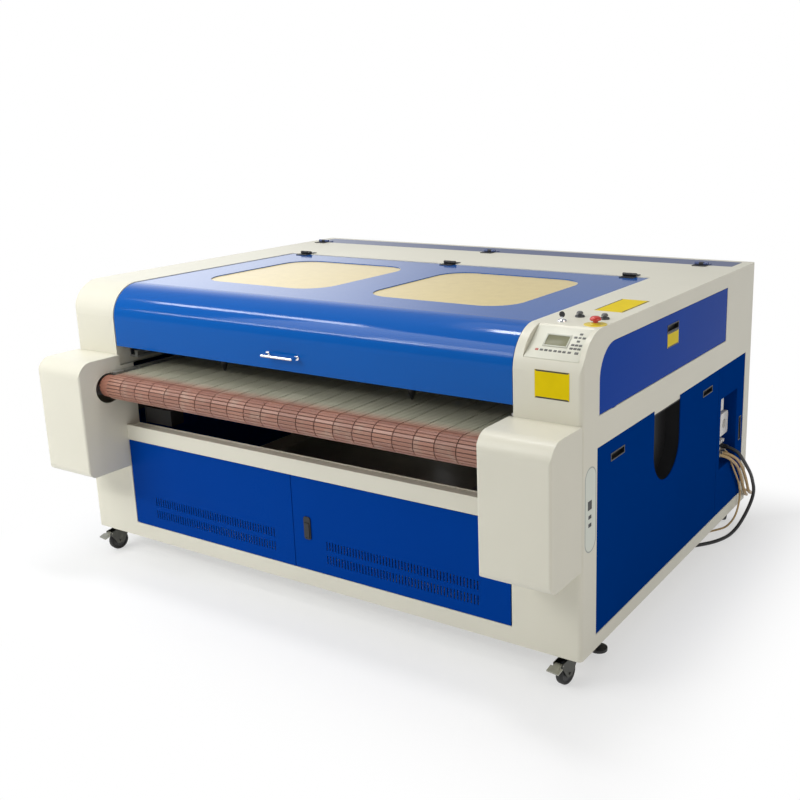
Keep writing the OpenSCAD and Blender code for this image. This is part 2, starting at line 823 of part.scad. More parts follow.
module bearing_blocks() {
    x0 = pillar_x + 38;
    x1 = pillar_x + sheet_t;
    color(steel) from_front() both_sides() {
        difference() {
            union() {
                block([x0, -roller_y, roller_z - 40], [x0 + bearing_t, 0, roller_z + 40]);
                rod_x(x0, x0 + bearing_t, -roller_y, roller_z, 40);
            }
            rod_x(x0 - eps, x0 + bearing_t + eps, -roller_y, roller_z, shaft_r + fit);
        }
        difference() {
            union() {
                block([x1, rear_roller_y - 40, tube_z + tube_side],
                    [x1 + bearing_t, rear_roller_y + 40, roller_z]);
                rod_x(x1, x1 + bearing_t, rear_roller_y, roller_z, 40);
            }
            rod_x(x1 - eps, x1 + bearing_t + eps, rear_roller_y, roller_z, shaft_r + fit);
        }
    }
}
module conveyor_motor() {
    x1 = -pillar_x + 42;
    y0 = 62;
    z1 = tube_z + 16;
    color(black) from_front() {
        block([x1, y0, z1 - motor_side], [x1 + motor_l, y0 + motor_side, z1]);
        block([x1 - 4, y0 - 2, z1 - motor_side - 2], [x1, y0 + motor_side + 2, tube_z + tube_side]);
        block([-pillar_x - sheet_t, y0 - 2, tube_z + tube_side - 4],
            [x1, y0 + motor_side + 2, tube_z + tube_side]);
        block([-pillar_x - sheet_t, y0 - 2, tube_z],
            [-pillar_x - sheet_t + 4, y0 + motor_side + 2, tube_z + tube_side]);
    }
}

// ---------- optics, motion and electronics ----------
module linear_rails() {
    ledge_z = rail_top_z - 24;
    color(steel) from_front() both_sides() {
        block([cheek_x - 40, 60, ledge_z], [cheek_x, lid_y1 - 16, ledge_z + 8]);
        block([cheek_x - 4, 60, ledge_z], [cheek_x, lid_y1 - 16, ledge_z + 30]);
        block([cheek_x - 35, 66, ledge_z + 8], [cheek_x - 20, lid_y1 - 22, rail_top_z]);
    }
}
module gantry_beam() {
    car_y0 = beam_y - 35;
    car_y1 = beam_y + 75;
    z0 = rail_top_z + seat;
    color([0.25, 0.25, 0.27]) from_front() {
        difference() {
            block([-cheek_x + 15, beam_y, beam_z], [cheek_x - 15, beam_y + beam_d, beam_z + beam_h]);
            block([-cheek_x + 10, beam_y + 5, beam_z + 5],
                [cheek_x - 10, beam_y + beam_d - 5, beam_z + beam_h - 5]);
        }
        both_sides() {
            block([cheek_x - 42, car_y0, z0], [cheek_x - 15, car_y1, beam_z + 2]);
            block([cheek_x - 42, car_y0, z0 - 10], [cheek_x - 35.5, car_y1, z0]);
        }
    }
}
module laser_head(x) {
    y = beam_y - 30;
    difference() {
        union() {
            block([x - head_w / 2, beam_y - 14, beam_z - 8],
                [x + head_w / 2, beam_y - seat, beam_z + beam_h + 8]);
            translate([x, y, nozzle_z + 26]) cylinder(h = beam_z + beam_h - nozzle_z, r = head_r);
            translate([x, y, nozzle_z]) cylinder(h = 26, r1 = 4, r2 = head_r, $fn = 32);
            block([x - 22, y - 24, beam_z + 22], [x + 22, beam_y - 14, beam_z + beam_h + 28]);
        }
        translate([x, y, nozzle_z - eps]) cylinder(h = 200, r = 2);
    }
}
module laser_heads() {
    color(black) from_front() {
        laser_head(-head_x);
        laser_head(head_x);
    }
}
module laser_tube() {
    y = (cover_y0 + cover_y1) / 2;
    cap_l = 60;
    color([0.75, 0.85, 0.9]) from_front() {
        rod_x(-laser_l / 2 + cap_l, laser_l / 2 - cap_l, y, laser_z, laser_r);
        rod_x(-laser_l / 2, laser_l / 2, y, laser_z, laser_r - 15);
    }
}
module tube_cradles() {
    y = (cover_y0 + cover_y1) / 2;
    color(black) from_front() both_sides() difference() {
        block([500, y - 55, laser_z - 85], [525, y + 55, laser_z + 10]);
        rod_x(490, 535, y, laser_z, laser_r + seat);
        block([490, y - laser_r - seat, laser_z], [535, y + laser_r + seat, laser_z + 20]);
    }
}
module electronics() {
    floor_z = body_bottom + sheet_t;
    color([0.6, 0.62, 0.64]) from_front() {
        block([520, 700, floor_z], [720, 1080, floor_z + 150]);
        block([520, 300, floor_z], [760, 560, floor_z + 90]);
        for (i = [0:2]) {
            block([200 + i * 80, 700, floor_z], [245 + i * 80, 850, floor_z + 120]);
        }
    }
}

// ---------- controls ----------
module control_unit() {
    z0 = nose_height(facet_y0);
    z1 = nose_height(facet_y1);
    slope = atan2(z1 - z0, facet_y1 - facet_y0);
    run = sqrt(pow(z1 - z0, 2) + pow(facet_y1 - facet_y0, 2));
    color([0.75, 0.78, 0.7]) from_front() translate([0, facet_y0, z0]) rotate([slope, 0, 0]) {
        block([facet_x0 + 2, 2, fit], [facet_x1 - 2, run - 8, 2]);
        block([facet_x0 + 46, 50, 2], [facet_x0 + 117, 88, 3.5]);
    }
}
module switch_bodies() {
    color([0.8, 0.78, 0.3]) from_front() {
        for (i = [0:3]) {
            p = switch_places()[i];
            bore = [7, plug_r - 2, 6, 6][i] + fit;
            flange = [34, 14, 15, 15][i];
            difference() {
                union() {
                    translate([p[0], p[1], body_top]) cylinder(h = 2, r = flange);
                    translate([p[0], p[1], body_top]) cylinder(h = 6, r = min(flange - 3, 15));
                    translate([p[0], p[1], body_top - 25]) cylinder(h = 27, r = p[2] - 0.2);
                }
                translate([p[0], p[1], body_top - 30]) cylinder(h = 60, r = bore);
            }
        }
    }
}
module button_at(i, head_r, head_h, stem_r, lift) {
    p = switch_places()[i];
    from_front() {
        translate([p[0], p[1], body_top + 6 + lift]) cylinder(h = head_h, r = head_r);
        translate([p[0], p[1], body_top - 18]) cylinder(h = 24 + lift + 1, r = stem_r);
    }
}
module estop_button() {
    color("red") button_at(0, estop_r, 13, 7, estop_travel + 1);
}
module button_left() {
    color("gray") button_at(2, button_r, 7, 6, button_travel + 1);
}
module button_right() {
    color("gray") button_at(3, button_r, 7, 6, button_travel + 1);
}
module mode_key() {
    p = switch_places()[1];
    color(steel) from_front() {
        translate([p[0], p[1], body_top - 18]) cylinder(h = 24.5, r = plug_r - 2);
        block([p[0] - 5, p[1] - 1, body_top + 6.3], [p[0] + 5, p[1] + 1, body_top + 14]);
        along_y(p[1] - 1, p[1] + 1) translate([p[0], body_top + 21]) circle(9);
    }
}
module label_plates() {
    plate_t = 0.8;
    color(yellow) from_front() {
        block([half_w - 149, -plate_t, body_top - 191], [half_w - 40, 0, body_top - 109]);
        block([half_w - 133, 348, body_top], [half_w - 39, 556, body_top + plate_t]);
        both_sides() block([panel_x, 620, up_z1 - 109], [panel_x + plate_t, 716, up_z1 - 59]);
    }
}

// ---------- lid ----------
// Side profile of the lid, shrunk by inset and open at the bottom.
module lid_profile(inset) {
    s = lid_drop + inset;
    r = nose_r - s;
    intersection() {
        translate([0, lid_z0]) square([lid_y1, body_top]);
        union() {
            translate([s, 0]) square([nose_r, body_top - nose_r]);
            translate([nose_r, 0]) square([lid_y1 - nose_r - inset, body_top - s]);
            translate([nose_r, body_top - nose_r]) circle(r, $fn = 96);
        }
    }
}
// Clears what hangs lower than the flanges behind the curved front.
module lid_clear() {
    translate([nose_r, lid_z0 - eps]) square([lid_y1, body_top - lid_drop - lid_flange - lid_z0 + eps]);
}
module window_outline(g) {
    round_rect(win_x0 - g, win_y0 - g, win_x1 + g, win_y1 + g, win_r + g);
}
module lid_shell() {
    lug_y = strut_y + strut_len * cos(strut_angle);
    lug_z = strut_z + strut_len * sin(strut_angle);
    color(blue) from_front() {
        difference() {
            union() {
                along_x(-lid_half, lid_half) difference() {
                    lid_profile(0);
                    lid_profile(sheet_t);
                    lid_clear();
                }
                both_sides() along_x(lid_half - sheet_t, lid_half) difference() {
                    lid_profile(0);
                    lid_profile(lid_flange);
                    lid_clear();
                }
                block([-lid_half, lid_drop, lid_z0], [lid_half, 20, lid_z0 + sheet_t]);
            }
            both_sides() translate([0, 0, body_top - 20]) linear_extrude(40) window_outline(0);
        }
        both_sides() block([strut_x + 6 + seat, lug_y - 12, lug_z - 12],
            [lid_half, lug_y + 12, body_top - lid_drop - 1]);
    }
}
module lid_windows() {
    z1 = body_top - lid_drop - sheet_t;
    color(amber) from_front() both_sides() {
        translate([0, 0, z1 - pane_t]) linear_extrude(pane_t) window_outline(18);
    }
}
module lid_handle() {
    color(steel) from_front() {
        for (s = [-1, 1]) {
            x = handle_x + s * handle_span / 2;
            rod_y(lid_drop - handle_out, lid_drop, x, handle_z, handle_r);
            rod_y(lid_drop - 4, lid_drop, x, handle_z, handle_r + 4);
            translate([x, lid_drop - handle_out, handle_z]) sphere(handle_r);
        }
        rod_x(handle_x - handle_span / 2, handle_x + handle_span / 2,
            lid_drop - handle_out, handle_z, handle_r);
    }
}
// Leaf on one side of a hinge axis: dir is -1 to the front and 1 to the back.
module hinge_leaf(x, y, dir, z_base, knuckle_a, knuckle_b) {
    near = 5.2;
    y_far = y + dir * (near + leaf_w);
    block([x - hinge_l / 2, min(y + dir * near, y_far), z_base],
        [x + hinge_l / 2, max(y + dir * near, y_far), z_base + leaf_t]);
    difference() {
        union() {
            rod_x(x + knuckle_a, x + knuckle_b, y, hinge_z, knuckle_r);
            block([x + knuckle_a, min(y, y + dir * (near + 4)), hinge_z - knuckle_r],
                [x + knuckle_b, max(y, y + dir * (near + 4)), z_base + leaf_t]);
        }
        rod_x(x + knuckle_a - eps, x + knuckle_b + eps, y, hinge_z, hinge_pin_r + fit);
    }
}
module fixed_hinge(x, y, dir) {
    third = hinge_l / 6;
    hinge_leaf(x, y, dir, body_top, -third + 0.3, third - 0.3);
    rod_x(x - hinge_l / 2, x + hinge_l / 2, y, hinge_z, hinge_pin_r);
    rod_x(x - third + 0.3, x + third - 0.3, y, hinge_z, hinge_pin_r + 2 * fit);
}
module hinge_bases() {
    color(black) from_front() {
        for (x = lid_hinge_x) {
            fixed_hinge(x, lid_axis_y, 1);
        }
        for (x = cover_hinge_x) {
            fixed_hinge(x, cover_axis_y, -1);
        }
    }
}
module lid_hinges() {
    third = hinge_l / 6;
    color(black) from_front() {
        for (x = lid_hinge_x) {
            for (s = [-1, 1]) {
                a = s < 0 ? -hinge_l / 2 : third + 0.3;
                b = s < 0 ? -third - 0.3 : hinge_l / 2;
                hinge_leaf(x, lid_axis_y, -1, body_top - lid_drop, a, b);
            }
        }
    }
}
module strut_place() {
    from_front() both_sides() translate([strut_x, strut_y, strut_z]) rotate([strut_angle, 0, 0]) children();
}
module strut_barrels() {
    color(black) strut_place() {
        difference() {
            union() {
                rod_x(-5, 5, 0, 0, 9);
                rod_y(6, 180, 0, 0, 9);
            }
            rod_x(-9, 9, 0, 0, 4 + fit);
            rod_y(12, 182, 0, 0, 4 + fit);
        }
    }
}
module strut_rods() {
    color(steel) strut_place() {
        rod_y(14, strut_len - 6, 0, 0, 4);
        rod_x(-6, 6, strut_len, 0, 9);
    }
}
module rear_cover() {
    third = hinge_l / 6;
    color([0.35, 0.42, 0.6]) from_front() {
        difference() {
            block([-cover_half, cover_y0, body_top - 20], [cover_half, cover_y1, body_top]);
            block([-cover_half + sheet_t, cover_y0 + sheet_t, body_top - 20 - eps],
                [cover_half - sheet_t, cover_y1 - sheet_t, body_top - sheet_t]);
        }
        for (x = cover_hinge_x) {
            for (s = [-1, 1]) {
                a = s < 0 ? -hinge_l / 2 : third + 0.3;
                b = s < 0 ? -third - 0.3 : hinge_l / 2;
                hinge_leaf(x, cover_axis_y, 1, body_top, a, b);
            }
        }
    }
}

// ---------- doors ----------
module door_pan(x0, x1, hinge_x) {
    z0 = door_z0 + 2;
    z1 = door_z1 - 2;
    field_x = (x0 + x1) / 2 + slot_shift;
    difference() {
        block([x0, 0, z0], [x1, door_t, z1]);
        block([x0 + 2, 2, z0 + 2], [x1 - 2, door_t + eps, z1 - 2]);
        for (i = [0:slot_count - 1]) {
            x = field_x + (i - (slot_count - 1) / 2) * slot_pitch - slot_w / 2;
            for (z = [200, 250]) {
                block([x, -eps, z], [x + slot_w, 3, z + slot_h]);
            }
        }
    }
    for (z = [z0 - door_pin_l, z1 - 30]) {
        translate([hinge_x, door_t / 2, z]) cylinder(h = door_pin_l + 30, r = door_pin_r);
    }
}
module door_left() {
    color(blue) from_front() door_pan(-door_half, door_seam_x - 1.5, -door_half + door_t / 2);
}
module door_right() {
    color(blue) from_front() door_pan(door_seam_x + 1.5, door_half, door_half - door_t / 2);
}
module door_lock() {
    color(black) from_front() difference() {
        along_y(-4, 0) round_rect(lock_x - 14.5, lock_z0, lock_x + 14.5, lock_z1, 8);
        along_y(-5, -1) round_rect(lock_x - 10.5, lock_z0 + 5, lock_x + 10.5, lock_z1 - 21, 1);
    }
}
module lock_lever() {
    color(black) from_front() {
        rod_x(lock_x - 10, lock_x + 10, -3.7, lock_z0 + 9, 2.4);
        block([lock_x - 10, -6.1, lock_z0 + 9], [lock_x + 10, -1.3, lock_z1 - 22]);
    }
}

// ---------- castors and feet ----------
function castor_pos(sx, back) = [
    sx * (half_w - castor_x),
    front_y + (back ? body_d - castor_y : castor_y),
    0];
module castor_plates() {
    color(steel) {
        for (s = [-1, 1]) {
            for (b = [false, true]) {
                translate(castor_pos(s, b)) {
                    block([-45, -40, body_bottom - castor_plate_t], [45, 40, body_bottom]);
                    translate([0, 0, fork_head_z - 8]) cylinder(h = body_bottom - fork_head_z + 8, r = 6);
                }
            }
        }
    }
}
module castor_fork(sx, back, heading) {
    leg_out = wheel_w / 2 + 5;
    leg_in = wheel_w / 2 + 2;
    head_t = 6;
    swivel_h = body_bottom - castor_plate_t - seat - fork_head_z;
    color(steel) translate(castor_pos(sx, back)) rotate([0, 0, heading]) {
        difference() {
            union() {
                translate([0, 0, fork_head_z - head_t]) cylinder(h = swivel_h + head_t, r = 24);
                for (s = [-1, 1]) {
                    translate([0, s < 0 ? -leg_in : leg_out, 0]) rotate([90, 0, 0])
                        linear_extrude(leg_out - leg_in)
                            polygon([[-20, fork_head_z], [-20, fork_head_z - head_t],
                                [trail - 12, wheel_r - 10], [trail + 12, wheel_r - 10],
                                [trail + 40, fork_head_z - 18], [trail + 40, fork_head_z - 8],
                                [24, fork_head_z]]);
                }
                block([-20, -leg_out, fork_head_z - head_t], [24, leg_out, fork_head_z]);
                rod_y(-leg_out - 3, leg_out + 3, trail, wheel_r, 4);
            }
            translate([0, 0, fork_head_z - 20]) cylinder(h = 40, r = 6 + fit);
            rod_y(-leg_out - eps, leg_out + eps, trail + 34, fork_head_z - 13, 2 + fit);
        }
    }
}
module castor_wheel(sx, back, heading) {
    color(black) translate(castor_pos(sx, back)) rotate([0, 0, heading]) difference() {
        rod_y(-wheel_w / 2, wheel_w / 2, trail, wheel_r, wheel_r);
        rod_y(-wheel_w, wheel_w, trail, wheel_r, 4 + fit);
        for (s = [-1, 1]) {
            translate([trail, s * (wheel_w / 2), wheel_r]) rotate([90, 0, 0]) difference() {
                cylinder(h = 8, r = wheel_r - 10, center = true);
                cylinder(h = 9, r = 10, center = true);
            }
        }
    }
}
module brake_pedal(sx) {
    reach = trail + 34;
    z = fork_head_z - 13;
    color(steel) translate(castor_pos(sx, false)) rotate([0, 0, heading_front]) {
        rod_y(-wheel_w / 2 - 5, wheel_w / 2 + 5, reach, z, 2);
        along_y(-wheel_w / 2 - 1.5, wheel_w / 2 + 1.5)
            polygon([[reach - 3, z - 3], [reach + 3, z - 3], [reach + 34, z - 14], [reach + 34, z - 10],
                [reach + 3, z + 3], [reach - 3, z + 3]]);
        along_y(-22, 22)
            polygon([[reach + 12, z - 6], [reach + 34, z - 14], [reach + 34, z - 10], [reach + 12, z - 2]]);
    }
}
module castor_fork_fl() { castor_fork(-1, false, heading_front); }
module castor_fork_fr() { castor_fork(1, false, heading_front); }
module castor_fork_rl() { castor_fork(-1, true, heading_rl); }
module castor_fork_rr() { castor_fork(1, true, heading_rr); }
module castor_wheel_fl() { castor_wheel(-1, false, heading_front); }
module castor_wheel_fr() { castor_wheel(1, false, heading_front); }
module castor_wheel_rl() { castor_wheel(-1, true, heading_rl); }
module castor_wheel_rr() { castor_wheel(1, true, heading_rr); }
module brake_pedal_fl() { brake_pedal(-1); }
module brake_pedal_fr() { brake_pedal(1); }
module levelling_feet() {
    color(black) from_front() both_sides() {
        for (p = foot_places) {
            translate([p[0], p[1], foot_z]) {
                cylinder(h = 9, r = foot_r);
                cylinder(h = body_bottom + 45 - foot_z, r = 6);
                translate([0, 0, 30]) cylinder(h = 8, r = 11);
            }
        }
    }
}

// ---------- cords ----------
// Routes as points from the cabinet's front plane, chosen by hand.
hose_routes = [
    [[1032, 1232, 372], [1060, 1236, 371], [1082, 1254, 361], [1093, 1292, 336], [1096, 1344, 298],
        [1097, 1386, 250], [1097, 1420, 198], [1096, 1460, 150], [1090, 1506, 124], [1074, 1548, 108],
        [1046, 1582, 94], [1006, 1612, 80], [960, 1640, 58], [910, 1662, 34], [858, 1671, 16],
        [820, 1672, 8], [780, 1672, 6]],
    [[1032, 1262, 372], [1064, 1268, 370], [1088, 1290, 358], [1101, 1330, 330], [1107, 1376, 284],
        [1110, 1414, 232], [1110, 1446, 184], [1106, 1482, 148], [1100, 1528, 126], [1085, 1574, 112],
        [1058, 1616, 100], [1018, 1654, 84], [972, 1682, 62], [920, 1702, 38], [862, 1712, 16],
        [800, 1713, 6], [730, 1704, 6], [655, 1682, 6], [620, 1674, 6], [580, 1672, 6]]];
air_route = [[1032, 1292, 376], [1060, 1292, 373], [1076, 1300, 354], [1083, 1316, 312],
    [1087, 1348, 268], [1088, 1384, 226], [1088, 1410, 186], [1088, 1420, 146], [1086, 1414, 108],
    [1080, 1404, 72], [1066, 1398, 40], [1044, 1386, 14], [1016, 1364, 4], [996, 1328, 4],
    [992, 1282, 4], [980, 1234, 4]];
cable_route = [[1032, 1322, 380], [1066, 1324, 377], [1098, 1330, 362], [1112, 1350, 333],
    [1121, 1384, 293], [1125, 1434, 241], [1125, 1468, 194], [1125, 1484, 160], [1122, 1480, 124],
    [1114, 1458, 86], [1104, 1430, 52], [1093, 1396, 24], [1083, 1356, 9], [1076, 1312, 7],
    [1062, 1266, 7], [1040, 1222, 7], [1006, 1176, 7], [960, 1126, 7], [900, 1072, 7], [840, 1020, 7]];
cable_tail = [[732, 1020, 52], [704, 1048, 50], [672, 1080, 42], [640, 1112, 30], [606, 1146, 20],
    [572, 1180, 17]];
// Coils: centre x and y, mean radius, cord radius and number of turns.
coils = [[780, 1606, 66, 6, 4.5], [580, 1606, 66, 6, 4.5], [948, 1264, 44, 4, 6], [786, 1074, 77, 7, 3.25]];
// Fittings on the hoses: start point and heading.
fittings = [[[780, 1540, 60], 0, 6], [[580, 1540, 60], 0, 6], [[980, 1234, 52], 227, 4]];

function unit(v) = v / norm(v);
function heading(p, i) = unit(p[min(i + 1, len(p) - 1)] - p[max(i - 1, 0)]);
function side_dir(p, i) = i == 0
    ? unit(cross(heading(p, 0), [0, 0, 1]))
    : let(s = side_dir(p, i - 1), d = heading(p, i)) unit(s - (s * d) * d);
function ring(p, i, r, n) = let(s = side_dir(p, i), t = cross(heading(p, i), s))
    [for (k = [0:n - 1]) p[i] + r * (cos(360 * k / n) * s + sin(360 * k / n) * t)];
// A round cord swept along its route.
module tube(route, r, n = 10) {
    last = len(route) - 1;
    polyhedron(
        points = [for (i = [0:last]) each ring(route, i, r, n)],
        faces = concat(
            [[for (k = [0:n - 1]) n - 1 - k]],
            [[for (k = [0:n - 1]) last * n + k]],
            [for (i = [0:last - 1]) for (k = [0:n - 1])
                [i * n + k, i * n + (k + 1) % n, (i + 1) * n + k]],
            [for (i = [0:last - 1]) for (k = [0:n - 1])
                [i * n + (k + 1) % n, (i + 1) * n + (k + 1) % n, (i + 1) * n + k]]));
}
module service_hoses() {
    color(tan_hose) from_front() {
        for (route = hose_routes) {
            tube(route, hose_r);
        }
        tube(air_route, air_r, 8);
    }
}
module power_cable() {
    color(black) from_front() {
        tube(cable_route, cable_r);
        tube(cable_tail, cable_r);
    }
}
module cord_coils() {
    color(tan_hose) from_front() {
        for (c = coils) {
            translate([c[0], c[1], 0]) rotate_extrude() translate([c[2] - c[3], 0])
                square([2 * c[3], 2 * c[3] * (c[4] + 1)]);
        }
    }
}
module cord_ends() {
    plug_l = 62;
    from_front() {
        for (f = fittings) {
            color(steel) translate(f[0]) rotate([0, 90, f[1]]) cylinder(h = 36, r = f[2] + 2.5);
        }
        color(black) translate(cable_tail[len(cable_tail) - 1]) rotate([0, 0, 135]) {
            translate([0, -18, -17]) cube([plug_l, 36, 34]);
            for (y = [-9.5, 9.5]) {
                rod_x(plug_l, plug_l + 19, y, 0, 2.4);
            }
        }
    }
}

base_cabinet();
upper_cabinet();
back_panel();
lower_panel_right();
upper_panel_right();
left_panels();
panel_grips();
side_pocket();
service_panel();
service_sockets();
interface_plate();
front_box_left();
front_box_right();
conveyor_belt();
belt_table();
bearing_blocks();
conveyor_motor();
linear_rails();
laser_tube();
tube_cradles();
electronics();
control_unit();
switch_bodies();
label_plates();
castor_plates();
hinge_bases();
levelling_feet();
lid_shell();
lid_windows();
lid_handle();
lid_hinges();
strut_barrels();
strut_rods();
rear_cover();
door_left();
door_right();
door_lock();
lock_lever();
gantry_beam();
laser_heads();
front_roller();
rear_roller();
castor_fork_fl();
castor_fork_fr();
castor_fork_rl();
castor_fork_rr();
castor_wheel_fl();
castor_wheel_fr();
castor_wheel_rl();
castor_wheel_rr();
brake_pedal_fl();
brake_pedal_fr();
estop_button();
mode_key();
button_left();
button_right();
service_hoses();
power_cable();
cord_coils();
cord_ends();
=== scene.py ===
# %% [markdown]
# # A conveyor-fed laser cutting machine
# A sheet-metal cabinet carries an endless slatted belt, a lid over the cutting bed and an
# operator's panel at its right front corner. The machine's exact shapes come from its CAD
# model. This lesson loads them, sets up the camera and the light, lays the hoses and the
# cable, gives each part its finish, and then models the small parts that a plain solid
# can't show.

# %% Load the frame
import bpy
import json
import math
from mathutils import Matrix, Vector


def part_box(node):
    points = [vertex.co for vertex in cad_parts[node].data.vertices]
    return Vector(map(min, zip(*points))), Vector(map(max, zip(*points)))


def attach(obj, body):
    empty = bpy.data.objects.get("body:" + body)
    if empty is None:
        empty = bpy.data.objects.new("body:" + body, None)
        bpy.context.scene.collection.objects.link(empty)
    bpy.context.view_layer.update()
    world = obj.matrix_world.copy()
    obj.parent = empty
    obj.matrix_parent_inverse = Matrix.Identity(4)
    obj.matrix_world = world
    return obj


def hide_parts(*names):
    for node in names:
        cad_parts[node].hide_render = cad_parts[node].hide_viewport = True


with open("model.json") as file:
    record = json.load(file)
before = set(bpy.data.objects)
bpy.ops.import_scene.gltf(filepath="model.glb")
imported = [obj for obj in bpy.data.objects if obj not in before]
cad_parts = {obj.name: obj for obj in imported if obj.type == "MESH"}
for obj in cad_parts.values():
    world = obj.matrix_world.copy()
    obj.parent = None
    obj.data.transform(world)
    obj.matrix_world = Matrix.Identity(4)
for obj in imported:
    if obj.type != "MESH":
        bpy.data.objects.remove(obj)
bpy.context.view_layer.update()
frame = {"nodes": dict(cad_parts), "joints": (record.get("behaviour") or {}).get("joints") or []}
nodes = frame["nodes"]

# %% [markdown]
# ## Measures from the cabinet
# A fitter who adds parts to a finished cabinet measures the cabinet first. The main places
# could be typed in, but a changed model would then leave the new parts behind, so they are
# read from the CAD nodes. Lengths are in millimetres, and y counts back from the cabinet's
# front plane, as on a drawing.

# %% Measuring tools
FRONT = round(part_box("base_cabinet")[0].y, 4)


def at(x, y, z):
    """A point in metres from millimetres counted from the cabinet's front plane."""
    return Vector((x / 1000, y / 1000 + FRONT, z / 1000))


def corners_of(node):
    """The two corners of a CAD node's box in millimetres, to a tenth."""
    return [[round((value - start) * 1000, 1) for value, start in zip(corner, (0, FRONT, 0))]
            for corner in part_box(node)]


def middle_of(node):
    """The middle of a CAD node's box in millimetres."""
    low, high = corners_of(node)
    return [(a + b) / 2 for a, b in zip(low, high)]


DECK = corners_of("upper_cabinet")[1][2]
print("front plane at", FRONT, "m, deck", DECK, "mm above the floor")

# %% [markdown]
# ## Camera
# A machine over two metres wide is seen by a person who stands off its right front corner.
# A camera could be aimed with a constraint, but three axes written as a matrix say exactly
# where it looks and how far it leans, so the axes are worked out here.

# %% Place the camera
FLOOR_SPAN = 60
STAND = Vector((2.262, -2.419 + FRONT, 1.669))
AIM_AZIMUTH = math.radians(-32.2)
AIM_DROP = math.radians(14.21)
LEAN = math.radians(-1.21)

look = Vector((math.sin(AIM_AZIMUTH) * math.cos(AIM_DROP),
               math.cos(AIM_AZIMUTH) * math.cos(AIM_DROP), -math.sin(AIM_DROP)))
level = look.cross(Vector((0, 0, 1))).normalized()
upright = level.cross(look)
right = math.cos(LEAN) * level + math.sin(LEAN) * upright
up = -math.sin(LEAN) * level + math.cos(LEAN) * upright
camera_data = bpy.data.cameras.new("camera")
camera_data.lens = 45.74
camera_data.shift_x = -0.0975
camera_data.shift_y = -0.0349
camera_data.clip_end = FLOOR_SPAN
camera = bpy.data.objects.new("camera", camera_data)
bpy.context.scene.collection.objects.link(camera)
place = Matrix.Identity(4)
for row in range(3):
    place[row][0], place[row][1], place[row][2] = right[row], up[row], -look[row]
place.translation = STAND
camera.matrix_world = place
bpy.context.scene.camera = camera
print("camera at", tuple(round(value, 3) for value in STAND))

# %% [markdown]
# ## Material workshop
# A finish is a small network of shader nodes. Wiring it by hand hides the idea behind boxes
# and lines, so it is written as sums instead: a Signal is one output, and arithmetic on it
# adds Math nodes. The reflected forms are there too, so that 1 - mask works.

# %% Signals


class Signal:
    """One output in a network of shader nodes."""

    def __init__(self, network, socket):
        self.network, self.socket = network, socket

    def math(self, operation, *values):
        inputs = dict(enumerate(values))
        return self.network.node("ShaderNodeMath", {"operation": operation}, inputs)

    def __add__(self, other):
        return self.math("ADD", self, other)

    def __radd__(self, other):
        return self.math("ADD", other, self)

    def __sub__(self, other):
        return self.math("SUBTRACT", self, other)

    def __rsub__(self, other):
        return self.math("SUBTRACT", other, self)

    def __mul__(self, other):
        return self.math("MULTIPLY", self, other)

    def __rmul__(self, other):
        return self.math("MULTIPLY", other, self)

    def __abs__(self):
        return self.math("ABSOLUTE", self)

    def fract(self):
        return self.math("FRACT", self)

    def root(self):
        return self.math("SQRT", self)

    def highest(self, other):
        return self.math("MAXIMUM", self, other)

    def ramp(self, start, end):
        """0 at start and 1 at end, smooth between them."""
        return self.network.node("ShaderNodeMapRange", {"interpolation_type": "SMOOTHSTEP"},
                                 {"Value": self, "From Min": start, "From Max": end})

    def between(self, low, high, soft):
        """1 from low to high, fading to 0 over soft on both sides."""
        return self.ramp(low - soft, low) * (1 - self.ramp(high, high + soft))


print("signals ready")

# %% [markdown]
# Any node that isn't arithmetic is added in one way: its kind, its settings, then the values
# or signals of its sockets. The world's light is such a network as much as a material is, so
# this belongs to both.

# %% Networks


class Network:
    """A tree of shader nodes."""

    def __init__(self, tree):
        self.tree = tree

    def set_input(self, socket, value):
        """Gives a socket a signal or a fixed value."""
        if isinstance(value, Signal):
            self.tree.links.new(value.socket, socket)
        else:
            socket.default_value = value

    def node(self, kind, settings=None, inputs=None, out=0):
        """Adds a node, its settings first, and returns one of its outputs."""
        made = self.tree.nodes.new(kind)
        for key, value in (settings or {}).items():
            setattr(made, key, value)
        for key, value in (inputs or {}).items():
            self.set_input(made.inputs[key], value)
        return Signal(self, made.outputs[out])

    def lit_or_seen(self, lit, seen, share, output):
        """Mixes two shaders and sends them to the output node: lit where share is 0."""
        mixed = self.node("ShaderNodeMixShader", None, {0: share, 1: lit, 2: seen})
        self.set_input(self.tree.nodes[output].inputs[0], mixed)


print("networks ready")

# %% [markdown]
# A finish on a real panel is a fixed recipe, such as its gloss, and small changes over the
# surface. A Finish is written the same way: fixed values go straight onto the shader, and
# signals feed the few sockets that vary. Patterns follow Object coordinates, so they stay
# with a part when it moves.

# %% Finishes


